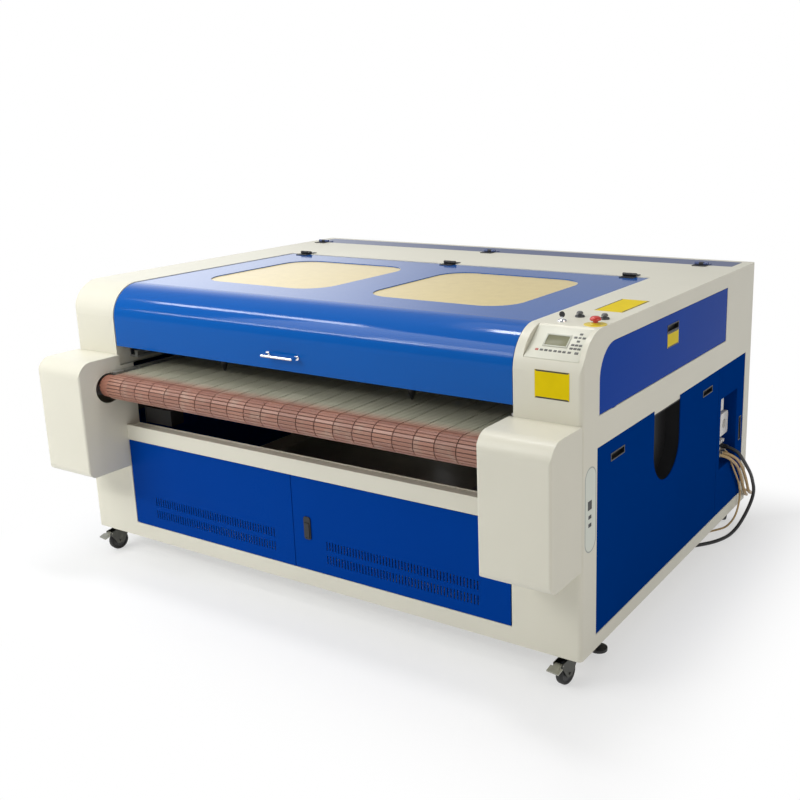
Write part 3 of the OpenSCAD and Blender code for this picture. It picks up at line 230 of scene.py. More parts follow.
class Finish(Network):
    """One material: its shader's fixed values, and the signals that vary it."""

    def __init__(self, name, **fixed):
        self.material = bpy.data.materials.new(name)
        self.material.use_nodes = True
        super().__init__(self.material.node_tree)
        self.shader = self.tree.nodes["Principled BSDF"]
        for socket, value in fixed.items():
            self.shader.inputs[socket.replace("_", " ")].default_value = value
        self.place = self.node("ShaderNodeTexCoord", out="Object")

    def axes(self):
        """The place on the object as x, y and z, in metres."""
        first = self.node("ShaderNodeSeparateXYZ", None, {0: self.place})
        return [Signal(self, output) for output in first.socket.node.outputs]

    def noise(self, scale, detail=2.0, stretch=None):
        """Soft noise of scale features a metre, drawn out along an axis by stretch."""
        where = self.place
        if stretch:
            where = self.node("ShaderNodeVectorMath", {"operation": "MULTIPLY"},
                              {0: self.place, 1: stretch})
        return self.node("ShaderNodeTexNoise", None,
                         {"Vector": where, "Scale": scale, "Detail": detail})

    def blend(self, first, second, factor):
        """first where factor is 0 and second where it is 1: two colours."""
        first = first if isinstance(first, Signal) else (*first, 1)
        second = second if isinstance(second, Signal) else (*second, 1)
        return self.node("ShaderNodeMix", {"data_type": "RGBA"},
                         {0: factor, 6: first, 7: second}, out=2)

    def feed(self, socket, signal):
        self.set_input(self.shader.inputs[socket], signal)
        return self

    def relief(self, height, depth):
        """Bumps the surface by depth metres where height goes from 0 to 1."""
        bump = self.node("ShaderNodeBump", None, {"Height": height, "Distance": depth})
        return self.feed("Normal", bump)


def shade(colour, factor):
    """A lighter or darker colour, held at white."""
    return tuple(min(1.0, channel * factor) for channel in colour)


def paint_nodes(names, finish):
    """Gives CAD nodes, named in one string, a finish."""
    for name in names.split():
        for slot in nodes[name].material_slots:
            slot.material = finish.material
    print(finish.material.name, "on", names)


print("finishes ready")

# %% [markdown]
# ## Bench tools
# The same few moves come back for every piece: add a primitive at its size and place, pick
# faces by where they are, turn a profile about an axis, round the edges, and join. Each is
# written once here, so that a piece below reads like a list of bench steps.

# %% Blocks and rods
TURNS = {"X": (0, math.pi / 2, 0), "Y": (math.pi / 2, 0, 0)}


def fix_place():
    """Writes the active object's place, turn and size into its mesh."""
    bpy.ops.object.transform_apply(location=True, rotation=True, scale=True)


def add_box(low, high):
    """A block between two corners in millimetres."""
    bpy.ops.object.select_all(action="DESELECT")
    middle = [(a + b) / 2 for a, b in zip(low, high)]
    size = [(b - a) / 1000 for a, b in zip(low, high)]
    bpy.ops.mesh.primitive_cube_add(size=1, location=at(*middle), scale=size)
    fix_place()
    return bpy.context.object


def add_rod(middle, radius, length, axis, sides=32):
    """A cylinder about its middle in millimetres, along X or Y."""
    bpy.ops.object.select_all(action="DESELECT")
    bpy.ops.mesh.primitive_cylinder_add(vertices=sides, radius=radius / 1000, depth=length / 1000,
                                        location=at(*middle), rotation=TURNS[axis])
    fix_place()
    return bpy.context.object


print("blocks and rods ready")

# %% [markdown]
# Knobs, wheels, couplings and bezels are turned on a lathe or moulded round. A cylinder
# could be inset and scaled ring by ring, but a turner thinks in profiles: half the section
# is drawn by extruding one vertex from point to point, and a spin sweeps it round the axis.

# %% Turned profiles
MERGE_WITHIN = 0.00001


def draw_profile(profile):
    """Draws (radius, height) pairs in millimetres as a chain of edges, left in edit mode."""
    bpy.ops.object.select_all(action="DESELECT")
    bpy.ops.mesh.primitive_plane_add(size=0.01, calc_uvs=False)
    made = bpy.context.object
    bpy.ops.object.mode_set(mode="EDIT")
    bpy.ops.mesh.select_mode(type="VERT")
    bpy.ops.mesh.select_all(action="SELECT")
    bpy.ops.mesh.merge(type="CENTER")
    points = [Vector((radius, 0, height)) / 1000 for radius, height in profile]
    bpy.ops.transform.translate(value=points[0])
    for here, there in zip(points, points[1:]):
        bpy.ops.mesh.extrude_vertices_move(TRANSFORM_OT_translate={"value": there - here})
    return made


def turn_profile(profile, foot, axis=(0, 0, 1), steps=40):
    """Spins a profile about an axis through foot, in metres."""
    made = draw_profile(profile)
    bpy.ops.mesh.select_all(action="SELECT")
    bpy.ops.mesh.spin(steps=steps, angle=2 * math.pi, center=(0, 0, 0), axis=(0, 0, 1))
    bpy.ops.mesh.select_all(action="SELECT")
    bpy.ops.mesh.remove_doubles(threshold=MERGE_WITHIN)
    bpy.ops.mesh.normals_make_consistent(inside=False)
    bpy.ops.object.mode_set(mode="OBJECT")
    tilt = Vector((0, 0, 1)).rotation_difference(Vector(axis)).to_matrix().to_4x4()
    made.matrix_world = Matrix.Translation(foot) @ tilt
    fix_place()
    return made


def loop_profile(points):
    """A closed profile: its first point again at the end."""
    return points + points[:1]


print("turning ready")

# %% [markdown]
# Faces can't be clicked in a script. They are picked by where their middle lies and which
# way they look, which also holds when a size changes. What is picked is then inset or sunk.

# %% Picking and shaping faces


def pick_faces(made, wanted):
    """Leaves made in edit mode with the faces selected whose middle and normal pass wanted."""
    bpy.ops.object.mode_set(mode="EDIT")
    bpy.ops.mesh.select_mode(type="FACE")
    bpy.ops.mesh.select_all(action="DESELECT")
    bpy.ops.object.mode_set(mode="OBJECT")
    for face in made.data.polygons:
        face.select = bool(wanted(face.center, face.normal))
    bpy.ops.object.mode_set(mode="EDIT")


def select_whole(made):
    """Leaves made in edit mode with all of it selected."""
    bpy.context.view_layer.objects.active = made
    bpy.ops.object.mode_set(mode="EDIT")
    bpy.ops.mesh.select_all(action="SELECT")


def leave_edit():
    bpy.ops.object.mode_set(mode="OBJECT")


def inset(width):
    """Insets the picked faces by width millimetres."""
    bpy.ops.mesh.inset(thickness=width / 1000)


def sink(depth):
    """Sinks the picked faces by depth millimetres, with walls round them."""
    bpy.ops.mesh.extrude_region_shrink_fatten(TRANSFORM_OT_shrink_fatten={"value": -depth / 1000})


print("picking ready")

# %% [markdown]
# No real edge is knife sharp, so edges are rounded with a bevel that finds them by their
# angle. A finished piece gets its name, its smooth shading and its finish in one last step,
# and then rides on a body of the machine, so that it moves with its joint.

# %% Rounding, joining and settling


def round_edges(made, width, segments=2, angle=35):
    """Rounds every edge sharper than angle by width millimetres."""
    bpy.context.view_layer.objects.active = made
    bevel = made.modifiers.new("round", "BEVEL")
    bevel.width = width / 1000
    bevel.segments = segments
    bevel.limit_method = "ANGLE"
    bevel.angle_limit = math.radians(angle)
    bpy.ops.object.modifier_apply(modifier=bevel.name)
    return made


def coat(made, *finishes):
    """Gives a piece its finishes, the first one all over."""
    for finish in finishes:
        made.data.materials.append(finish.material)
    return made


def join_pieces(parts):
    """Makes one object of parts and returns it."""
    bpy.ops.object.select_all(action="DESELECT")
    for part in parts:
        part.select_set(True)
    bpy.context.view_layer.objects.active = parts[0]
    bpy.ops.object.join()
    return parts[0]


def set_down(made, foot, turn):
    """Moves a piece made about the front plane's origin to foot, turned by a matrix."""
    made.matrix_world = Matrix.Translation(at(*foot)) @ turn @ Matrix.Translation(-at(0, 0, 0))
    fix_place()
    return made


def settle(made, name, finish, body, angle=35):
    """Names a finished piece, smooths it, gives it its finish and lets it ride on a body."""
    bpy.ops.object.select_all(action="DESELECT")
    made.select_set(True)
    bpy.context.view_layer.objects.active = made
    bpy.ops.object.shade_smooth_by_angle(angle=math.radians(angle))
    made.name = made.data.name = name
    if not made.data.materials:
        coat(made, finish)
    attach(made, body)
    print(name, "has", len(made.data.polygons), "faces")
    return made


print("bench ready")

# %% [markdown]
# ## Hose, cable and fitting finishes
# The water and air hoses are tan polyurethane tube, cloudy and a little glossy. The mains
# cable has a matt black sheath. Colour noise gives the cloudiness, and fine noise the grain;
# a texture image would repeat along the length.

# %% Hose and cable finishes
hose_finish = Finish("tan_hose", Base_Color=(0.52, 0.34, 0.15, 1), Roughness=0.32)
cloudy = hose_finish.noise(35, 3)
hose_finish.feed("Base Color", hose_finish.blend((0.60, 0.42, 0.20), (0.40, 0.25, 0.10), cloudy))
hose_finish.feed("Roughness", 0.24 + cloudy * 0.25)
hose_finish.relief(hose_finish.noise(260, 2), 0.0004)

cable_finish = Finish("black_cable", Base_Color=(0.012, 0.012, 0.013, 1), Roughness=0.42)
sheath = cable_finish.noise(120, 3)
cable_finish.feed("Base Color",
                  cable_finish.blend((0.010, 0.010, 0.011), (0.03, 0.03, 0.032), sheath))
cable_finish.feed("Roughness", 0.34 + sheath * 0.2)
cable_finish.relief(cable_finish.noise(700, 2), 0.0002)
print("cord finishes:", hose_finish.material.name, cable_finish.material.name)

# %% [markdown]
# Couplings are turned brass with a dull plating, and the plug is rubber with bright pins.
# Metal takes its look from reflections, so its roughness varies more than its colour.

# %% Coupling, rubber and chrome finishes
coupling_metal = Finish("coupling_metal", Metallic=1.0, Roughness=0.3)
turned_lines = coupling_metal.noise(300, 2)
coupling_metal.feed("Base Color",
                    coupling_metal.blend((0.62, 0.58, 0.50), (0.48, 0.45, 0.40), turned_lines))
coupling_metal.feed("Roughness", 0.24 + turned_lines * 0.16)

black_rubber = Finish("black_rubber", Roughness=0.5)
grain = black_rubber.noise(600, 2)
black_rubber.feed("Base Color",
                  black_rubber.blend((0.012, 0.012, 0.013), (0.022, 0.022, 0.023), grain))
black_rubber.feed("Roughness", 0.44 + grain * 0.14)
black_rubber.relief(grain, 0.0001)

chrome = Finish("chrome", Metallic=1.0, Roughness=0.12)
swirl = chrome.noise(90, 2)
chrome.feed("Base Color", chrome.blend((0.88, 0.88, 0.90), (0.80, 0.80, 0.82), swirl))
chrome.feed("Roughness", 0.08 + swirl * 0.08)
print("fitting finishes:", coupling_metal.material.name, black_rubber.material.name)

# %% [markdown]
# ## Cord ends
# A hose ends in a push-on coupling: a knurled collar, a neck and a hex nut. The cable ends
# in a moulded two-pin plug. Where a cord leaves the service panel, a ribbed sleeve keeps it
# from kinking. The couplings and sleeves are round, so they are turned. The plug is waisted,
# so it starts as a block whose tail end is scaled down.

# %% Couplings and sleeves
HOSE_R, AIR_R, CABLE_R = 6, 4, 7
SLEEVE_RIBS = 6
RIB_PITCH = 3.2


def hose_fitting(name, start, heading, cord_r):
    """A coupling whose collar starts at a point and looks along a heading in degrees."""
    r = cord_r + 2.5
    angle = math.radians(heading)
    along = Vector((math.cos(angle), math.sin(angle), 0))
    profile = [(0, 0), (r - 1, 0), (r, 1), (r, 12), (r - 1.5, 13), (r - 1.5, 15), (r, 16), (r, 20),
               (r - 2.2, 21), (r - 2.2, 27), (r - 0.8, 28), (r - 0.8, 35), (r - 1.6, 36),
               (cord_r - 2, 36), (cord_r - 2, 26), (0, 26)]
    made = turn_profile(profile, at(*start), along, steps=24)
    return settle(made, name, coupling_metal, "chassis")


def strain_relief(name, gland, cord_r, finish):
    """The tapered, ribbed sleeve on which a cord leaves the service panel, and its nut."""
    r = cord_r + 0.6
    ribs = [(0, -2), (r + 6.5, -2), (r + 6.5, 4.5), (r + 4.5, 6), (r + 4.5, 9), (r + 3.6, 10)]
    for i in range(SLEEVE_RIBS):
        out = r + 3.4 - i * 0.5
        along = 10 + i * RIB_PITCH
        ribs += [(out, along + 0.6), (out, along + 2.6), (out - 1.2, along + 2.9),
                 (out - 1.2, along + 3.5)]
    ribs += [(r + 0.3, 30), (r - 1.5, 30.5), (r - 1.5, 8), (0, 8)]
    made = turn_profile(ribs, at(*gland), (1, 0, 0), steps=24)
    return settle(made, name, finish, "chassis")


print("sleeve ribs:", SLEEVE_RIBS)

# %% Mains plug


def mains_plug(name, start, heading):
    """A plug with rounded edges, a narrow tail and two pins, looking along a heading."""
    body = add_box((0, -18, -17), (62, 18, 17))
    pick_faces(body, lambda middle, normal: normal.x < -0.9)
    bpy.ops.transform.resize(value=(1, 0.55, 0.5))
    leave_edit()
    pick_faces(body, lambda middle, normal: normal.x > 0.9)
    inset(3)
    bpy.ops.transform.translate(value=(0.001, 0, 0))
    leave_edit()
    coat(round_edges(body, 3.5, 3), black_rubber)
    pins = [add_rod((71.5, y, 0), 2.4, 19, "X", 20) for y in (-9.5, 9.5)]
    for pin in pins:
        coat(round_edges(pin, 0.8, 2), chrome)
    made = join_pieces([body] + pins)
    set_down(made, start, Matrix.Rotation(math.radians(heading), 4, "Z"))
    return settle(made, name, black_rubber, "chassis")


ends = {"hose_a": hose_fitting("hose_fitting_a", (780, 1540, 60), 0, HOSE_R),
        "hose_b": hose_fitting("hose_fitting_b", (580, 1540, 60), 0, HOSE_R),
        "air_hose": hose_fitting("air_fitting", (980, 1234, 52), 227, AIR_R),
        "cable": mains_plug("mains_plug", (572, 1180, 17), 135)}
for end in ends.values():
    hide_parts("cord_ends")
print("cord ends:", len(ends))

# %% [markdown]
# ## Hoses and cable
# Two tan water hoses, a thinner air hose and a black mains cable leave the service bay. Each
# is one length of tube that drops under its own weight and ends in a neat coil behind or
# under the machine. A curve with a round bevel keeps an even thickness along any route, so
# each cord is one smooth curve through listed points, and a loop winds its coil.

# %% Routes in millimetres from the front plane
HOSE_A = [(1032, 1232, 372), (1060, 1236, 371), (1082, 1254, 361), (1093, 1292, 336),
          (1096, 1344, 298), (1097, 1386, 250), (1097, 1420, 198), (1096, 1460, 150),
          (1090, 1506, 124), (1074, 1548, 108), (1046, 1582, 94), (1006, 1612, 80),
          (960, 1640, 58), (910, 1662, 34), (858, 1671, 16), (820, 1672, 8), (780, 1672, 6)]
HOSE_B = [(1032, 1262, 372), (1064, 1268, 370), (1088, 1290, 358), (1101, 1330, 330),
          (1107, 1376, 284), (1110, 1414, 232), (1110, 1446, 184), (1106, 1482, 148),
          (1100, 1528, 126), (1085, 1574, 112), (1058, 1616, 100), (1018, 1654, 84),
          (972, 1682, 62), (920, 1702, 38), (862, 1712, 16), (800, 1713, 6), (730, 1704, 6),
          (655, 1682, 6), (620, 1674, 6), (580, 1672, 6)]
AIR_HOSE = [(1032, 1292, 376), (1060, 1292, 373), (1076, 1300, 354), (1083, 1316, 312),
            (1087, 1348, 268), (1088, 1384, 226), (1088, 1410, 186), (1088, 1420, 146),
            (1086, 1414, 108), (1080, 1404, 72), (1066, 1398, 40), (1044, 1386, 14),
            (1016, 1364, 4), (996, 1328, 4), (992, 1282, 4), (980, 1234, 4)]
CABLE = [(1032, 1322, 380), (1066, 1324, 377), (1098, 1330, 362), (1112, 1350, 333),
         (1121, 1384, 293), (1125, 1434, 241), (1125, 1468, 194), (1125, 1484, 160),
         (1122, 1480, 124), (1114, 1458, 86), (1104, 1430, 52), (1093, 1396, 24),
         (1083, 1356, 9), (1076, 1312, 7), (1062, 1266, 7), (1040, 1222, 7),
         (1006, 1176, 7), (960, 1126, 7), (900, 1072, 7), (840, 1020, 7)]
CABLE_TAIL = [(704, 1048, 50), (672, 1080, 42), (640, 1112, 30), (606, 1146, 20), (572, 1180, 17)]
print("route points:", len(HOSE_A), len(HOSE_B), len(AIR_HOSE), len(CABLE) + len(CABLE_TAIL))

# %% Coils and smooth curves
PER_TURN = 24


def coil_points(centre, radius, cord_r, turns, start, sense):
    """Points of a coil wound upwards after its first, from start degrees, in millimetres."""
    count = round(turns * PER_TURN)
    points = []
    for step in range(1, count + 1):
        angle = math.radians(start + sense * 360 * turns * step / count)
        rise = 2 * cord_r * turns * step / count
        points.append((centre[0] + radius * math.cos(angle),
                       centre[1] + radius * math.sin(angle), cord_r + rise))
    return points


def smooth_path(points, per_span=3):
    """The points of a smooth curve through all of points."""
    path = []
    last = len(points) - 1
    for i in range(last):
        before, after = points[max(i - 1, 0)], points[min(i + 2, last)]
        a, b = points[i], points[i + 1]
        for step in range(per_span):
            t = step / per_span
            slope = (b - before) * t
            bend = (2 * before - 5 * a + 4 * b - after) * t ** 2
            twist = (3 * a - before - 3 * b + after) * t ** 3
            path.append(0.5 * (2 * a + slope + bend + twist))
    return path + [points[last]]


def cord_curve(name, points, radius):
    """A round cord along a smooth curve through points, and its length."""
    path = smooth_path(points)
    data = bpy.data.curves.new(name, "CURVE")
    data.dimensions = "3D"
    data.bevel_depth = radius
    data.bevel_resolution = 3
    data.use_fill_caps = True
    spline = data.splines.new("POLY")
    spline.points.add(len(path) - 1)
    for point, where in zip(spline.points, path):
        point.co = (*where, 1)
    spline.use_smooth = True
    cord = bpy.data.objects.new(name, data)
    bpy.context.scene.collection.objects.link(cord)
    return cord, sum((b - a).length for a, b in zip(path, path[1:]))


print("points a turn:", PER_TURN)

# %% Lay the cords


def lay_cord(name, points, cord_r, finish):
    """Lays one cord through points in millimetres."""
    path = [at(*point) for point in points]
    cord, length = cord_curve(name, path, cord_r / 1000)
    coat(cord, finish)
    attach(cord, "chassis")
    print(name, round(length, 2), "m")
    return cord


HOSES = {"hose_a": (HOSE_A, HOSE_R, ((780, 1606), 66, HOSE_R, 4.5, 90, 1)),
         "hose_b": (HOSE_B, HOSE_R, ((580, 1606), 66, HOSE_R, 4.5, 90, 1)),
         "air_hose": (AIR_HOSE, AIR_R, ((948, 1264), 44, AIR_R, 6, -43.2, -1))}
for name, (route, cord_r, coil) in HOSES.items():
    strain_relief(name + "_sleeve", route[0], cord_r, coupling_metal)
    hose = lay_cord(name, route + coil_points(*coil), cord_r, hose_finish)
    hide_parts("service_hoses", "cord_coils")
strain_relief("cable_sleeve", CABLE[0], CABLE_R, black_rubber)
cable_coil = coil_points((786, 1074), 77, CABLE_R, 3.25, -45, -1)
cable = lay_cord("cable", CABLE + cable_coil + CABLE_TAIL, CABLE_R, cable_finish)
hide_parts("power_cable", "cord_coils")

# %% [markdown]
# ## Floor
# The machine stands on a plain white floor. A very strong lamp would whiten the floor but
# burn the paint too, so the floor shows itself as white to the camera, to metal and to
# glass. Under the machine it mixes half of that white with its real, shaded surface, and the
# real half fades out beside the machine, so the machine still stands on a soft shadow.

# %% White floor that keeps a shadow
scene = bpy.context.scene
scene.view_settings.view_transform = "Standard"
bpy.ops.object.select_all(action="DESELECT")
bpy.ops.mesh.primitive_plane_add(size=FLOOR_SPAN, location=(0, 0, 0))
floor = bpy.context.object
floor.name = "floor"
floor_finish = Finish("floor", Base_Color=(0.9, 0.9, 0.9, 1), Roughness=0.9)
by_camera = floor_finish.node("ShaderNodeLightPath", out="Is Camera Ray")
by_metal = floor_finish.node("ShaderNodeLightPath", out="Is Glossy Ray")
by_glass = floor_finish.node("ShaderNodeLightPath", out="Is Transmission Ray")
glow = floor_finish.node("ShaderNodeEmission", None, {"Color": (1, 1, 1, 1), "Strength": 1.0})
floor_x, floor_y, _ = floor_finish.axes()
HALF_WIDTH, HALF_DEPTH = 1.08, 0.86
SHADOW_FULL, SHADOW_GONE = -0.05, 0.5
past_machine = (abs(floor_x) - HALF_WIDTH).highest(abs(floor_y) - HALF_DEPTH)
beside = past_machine.ramp(SHADOW_FULL, SHADOW_GONE)
share = by_camera.highest(by_metal).highest(by_glass) * (0.5 + 0.5 * beside)
floor_lit = Signal(floor_finish, floor_finish.shader.outputs[0])
floor_finish.lit_or_seen(floor_lit, glow, share, "Material Output")
coat(floor, floor_finish)
print("floor:", FLOOR_SPAN, "m")

# %% [markdown]
# ## Surroundings
# A workshop's walls light a machine from all sides, and one wall is usually brighter than
# the rest. The world does the same here: it is even, and grows brighter towards the left.
# The camera sees plain white behind the floor instead, which lights nothing.

# %% World
world = bpy.data.worlds.new("studio")
scene.world = world
world.use_nodes = True
sky = Network(world.node_tree)
around = sky.node("ShaderNodeTexCoord", out="Generated")
towards_left = sky.node("ShaderNodeVectorMath", {"operation": "DOT_PRODUCT"},
                        {0: around, 1: Vector((-0.9, 0.42, 0.13)).normalized()}, out="Value")
strength = sky.node("ShaderNodeMapRange", {"interpolation_type": "SMOOTHSTEP"},
                    {"Value": towards_left, "From Min": 0.82, "From Max": 1.0,
                     "To Min": 0.42, "To Max": 1.5})
walls = sky.tree.nodes["Background"]
sky.set_input(walls.inputs["Color"], (0.95, 0.97, 1.0, 1))
sky.set_input(walls.inputs["Strength"], strength)
backdrop = sky.node("ShaderNodeBackground", None, {"Color": (1, 1, 1, 1)})
sky.lit_or_seen(Signal(sky, walls.outputs[0]), backdrop,
                sky.node("ShaderNodeLightPath", out="Is Camera Ray"), "World Output")
print("world:", world.name)

# %% [markdown]
# ## Lamps
# Three big soft lamps give the machine its shape: a key from the front left, a weaker, warmer
# fill from the right and a faint one overhead. Four long narrow ones stand for tube lights.
# They add little light, but the lid's curved front mirrors each as a long bright line. They
# could be one long tube, but a separate one for each end of the lid sets each line's height.

# %% Soft lamps and tube lamps


def lamp(name, where, towards, width, depth, watts, colour=(1, 1, 1)):
    """A rectangular lamp at a place in metres, aimed at another place."""
    data = bpy.data.lights.new(name, "AREA")
    data.shape = "RECTANGLE"
    data.size, data.size_y = width, depth
    data.energy = watts
    data.color = colour
    made = bpy.data.objects.new(name, data)
    scene.collection.objects.link(made)
    made.location = where
    made.rotation_mode = "QUATERNION"
    made.rotation_quaternion = (Vector(towards) - Vector(where)).to_track_quat("-Z", "Y")
    made.visible_camera = False
    print(name, watts, "W")
    return made


lamp("key", (-3.0, -4.5, 4.2), (0, 0, 0.6), 3.0, 3.0, 108, (0.98, 1.0, 0.97))
lamp("fill", (5.5, -1.5, 3.2), (0, 0, 0.6), 3.0, 3.0, 54, (1.0, 0.93, 0.84))
lamp("top", (0, 0.5, 5.0), (0, 0, 1.0), 4.0, 3.0, 16)
lamp("tube_back_left", (-3.4, -2.2, 4.0), (-3.4, -0.6, 1.0), 2.2, 0.36, 36)
lamp("tube_back_right", (-0.3, -0.4, 4.2), (-0.3, -0.6, 1.0), 1.6, 0.5, 44)
lamp("tube_front_left", (-2.6, -3.1, 2.2), (-2.6, -0.6, 1.0), 2.6, 0.16, 22)
lamp("tube_front_right", (-0.9, -2.8, 2.2), (-0.9, -0.6, 1.0), 1.2, 0.35, 9)

# %% [markdown]
# ## Painted steel
# Sheet-metal cabinets are powder coated. The coat has a faint orange-peel relief, a soft
# gloss, and a colour that drifts a little over a big panel. Noise at three scales gives these.
# Deep blue paint shows a pale veil where a white floor lies in its gloss, so the blue coats
# get almost no specular level, and the lid alone keeps its shine through a clear coat.

# %% Powder coats


def powder_coat(name, colour, rough, drift=0.06, layer=0.1, gloss=0.3, peel=0.00012, haze=0.12):
    """Powder coat: layer is its clear top layer, haze that layer's roughness."""
    finish = Finish(name, Base_Color=(*colour, 1), Roughness=rough, Coat_Weight=layer,
                    Coat_Roughness=haze, Specular_IOR_Level=gloss)
    wide = finish.noise(2.3, 3)
    fine = finish.noise(140, 2)
    finish.feed("Base Color", finish.blend(shade(colour, 1 + drift), shade(colour, 1 - drift), wide))
    finish.feed("Roughness", rough - 0.05 + wide * 0.06 + fine * 0.04)
    finish.relief(finish.noise(330, 2), peel)
    return finish


SMOOTH_PEEL = 0.00003
cream = powder_coat("cream_coat", (0.68, 0.655, 0.55), 0.42)
door_blue = powder_coat("blue_coat", (0.0, 0.041, 0.27), 0.28, layer=0.0, gloss=0.012,
                        peel=SMOOTH_PEEL)
# The side panels share one blue paint: the lower panels get a darker copy as painted shade, and the
# upper panel a lighter copy as painted light.
shaded_side_blue = powder_coat("shaded_side_coat", (0.0, 0.034, 0.21), 0.26, layer=0.0, gloss=0.0,
                        peel=SMOOTH_PEEL)
lit_upper_side_blue = powder_coat("lit_upper_side_coat", (0.0, 0.046, 0.33), 0.26, layer=0.0, gloss=0.016,
                              peel=SMOOTH_PEEL)
slate_blue = powder_coat("cover_coat", (0.06, 0.085, 0.20), 0.32, layer=0.3)
black = powder_coat("black_coat", (0.018, 0.018, 0.02), 0.4)
paint_nodes("base_cabinet upper_cabinet front_box_left front_box_right back_panel", cream)
paint_nodes("door_left door_right", door_blue)
paint_nodes("lower_panel_right left_panels service_panel", shaded_side_blue)
paint_nodes("upper_panel_right", lit_upper_side_blue)
paint_nodes("rear_cover", slate_blue)
paint_nodes("conveyor_motor laser_heads tube_cradles strut_barrels hinge_bases lid_hinges", black)
paint_nodes("door_lock lock_lever", black)

# %% [markdown]
# The lid has a thick clear layer over its blue. The layer is thinner on the upright front,
# where hands wear it, than on the flat top. A mask painted by hand would do, but height alone
# tells the two apart.

# %% Lid paint
lid_blue = powder_coat("lid_coat", (0.0, 0.088, 0.38), 0.18, layer=0.9, gloss=0.015,
                       peel=SMOOTH_PEEL, haze=0.09)
lid_height = lid_blue.axes()[2]
lid_blue.feed("Coat Weight", 0.3 + 0.6 * lid_height.ramp(1.0, 1.07))
paint_nodes("lid_shell", lid_blue)

# %% [markdown]
# ## Metals and plastics
# Rails, rods and plated plates are brushed or drawn, so their scratches run one way: noise
# stretched along an axis draws them. Plastic and rubber parts are moulded, with a fine grain
# and a faint cloud in the colour. One recipe for each kind keeps the family alike, and only
# colour, roughness and grain direction change from part to part.

# %% Brushed metals


def brushed_metal(name, colour, rough, along):
    """Metal with fine lines, long on the axes where along is small."""
    finish = Finish(name, Base_Color=(*colour, 1), Metallic=1.0, Roughness=rough)
    lines = finish.noise(60, 3, stretch=along)
    finish.feed("Base Color", finish.blend(shade(colour, 1.08), shade(colour, 0.86), lines))
    finish.feed("Roughness", rough - 0.08 + lines * 0.16)
    finish.relief(lines, 0.00004)
    return finish


bare_steel = brushed_metal("bare_steel", (0.56, 0.57, 0.58), 0.36, (0.1, 1, 1))
zinc = brushed_metal("zinc_plate", (0.40, 0.40, 0.35), 0.36, (1, 1, 0.2))
# Painted shade: the castor forks are zinc like the plates, given a much darker copy for their shade.
shaded_fork_zinc = brushed_metal("shaded_fork_zinc", (0.10, 0.10, 0.09), 0.4, (1, 1, 0.2))
aluminium = brushed_metal("aluminium", (0.66, 0.67, 0.68), 0.38, (0.05, 1, 1))
paint_nodes("linear_rails electronics bearing_blocks strut_rods", bare_steel)
paint_nodes("castor_plates brake_pedal_fl brake_pedal_fr", zinc)
paint_nodes("castor_fork_fl castor_fork_fr castor_fork_rl castor_fork_rr", shaded_fork_zinc)
paint_nodes("belt_table gantry_beam", aluminium)
paint_nodes("lid_handle", chrome)

# %% Moulded plastics and rubber


def moulded(name, colour, rough, layer=0.0, gloss=0.5):
    """Moulded plastic or rubber, with a clear top layer if it is polished."""
    finish = Finish(name, Base_Color=(*colour, 1), Roughness=rough, Coat_Weight=layer,
                    Specular_IOR_Level=gloss)
    grain = finish.noise(900, 2)
    cloud = finish.noise(25, 2)
    finish.feed("Base Color", finish.blend(shade(colour, 1.06), shade(colour, 0.92), cloud))
    finish.feed("Roughness", rough - 0.04 + grain * 0.08)
    finish.relief(grain, 0.00006)
    return finish


roller_rubber = moulded("roller_rubber", (0.36, 0.15, 0.10), 0.42)
black_plastic = moulded("black_plastic", (0.012, 0.012, 0.013), 0.45)
white_plastic = moulded("white_plastic", (0.72, 0.7, 0.67), 0.35, 0.2)
pane = moulded("amber_pane", (0.70, 0.56, 0.25), 0.16, 0.1, 0.2)
paint_nodes("front_roller rear_roller", roller_rubber)
paint_nodes("panel_grips side_pocket levelling_feet", black_plastic)
paint_nodes("cord_ends cord_coils power_cable service_hoses", black_plastic)
paint_nodes("service_sockets", white_plastic)
paint_nodes("lid_windows", pane)

# %% [markdown]
# ## Laser tube and socket plate
# The laser tube is blown glass, clear and slightly wavy. The socket plate is a pale plate
# with rounded ends and a thin dark printed line inside its edge. The line could be a separate
# strip, but it is only ink, so it is drawn in the finish: the distance from the plate's
# straight core is the same all along a rounded outline, and the line lies at one distance.

# %% Glass and the plate's printed line
glass = Finish("tube_glass", Base_Color=(0.85, 0.93, 0.95, 1), Roughness=0.05,
               Transmission_Weight=0.9)
glass.relief(glass.noise(8, 2), 0.0003)
paint_nodes("laser_tube", glass)

PLATE_CORNER = 36.7
LINE_FROM, LINE_TO = 32.5, 35.5
plate_low, plate_high = corners_of("interface_plate")
plate_middle = at(*middle_of("interface_plate"))
socket_plate = Finish("socket_plate", Base_Color=(0.6, 0.63, 0.55, 1), Roughness=0.35)


def past_core(place, axis):
    """How far a place lies past the core's end along an axis, in metres, and 0 inside it."""
    half = (plate_high[axis] - plate_low[axis]) / 2 - PLATE_CORNER
    return (abs(place - plate_middle[axis]) - half / 1000).highest(0)


_, plate_y, plate_z = socket_plate.axes()
past_y, past_z = past_core(plate_y, 1), past_core(plate_z, 2)
from_core = (past_y * past_y + past_z * past_z).root()
printed = from_core.between(LINE_FROM / 1000, LINE_TO / 1000, 0.001) * 0.5
socket_plate.feed("Base Color",
                  socket_plate.blend((0.62, 0.65, 0.57), (0.03, 0.028, 0.024), printed))
socket_plate.relief(socket_plate.noise(330, 2), 0.00006)
paint_nodes("interface_plate", socket_plate)
print("finishes:", len(bpy.data.materials))

# %% [markdown]
# ## Conveyor belt
# The bed is an endless belt of small coated plates, stamped from strip, each fixed to the
# carrier band below so that the rows can fold round the rollers. One plate is made with its
# chamfer; an array lays out a row, a second array lays rows on the straight runs, and a spin
# with copies turns the row round each roller. That is how the real belt is laid out too, so
# the spacing stays even all the way round.

# %% Measures of the belt
PLATES_A_ROW, ROWS, TURNED_ROWS = 21, 116, 11
PLATE_HALF_WIDTH, PLATE_HALF_DEPTH = 36.7, 5.1
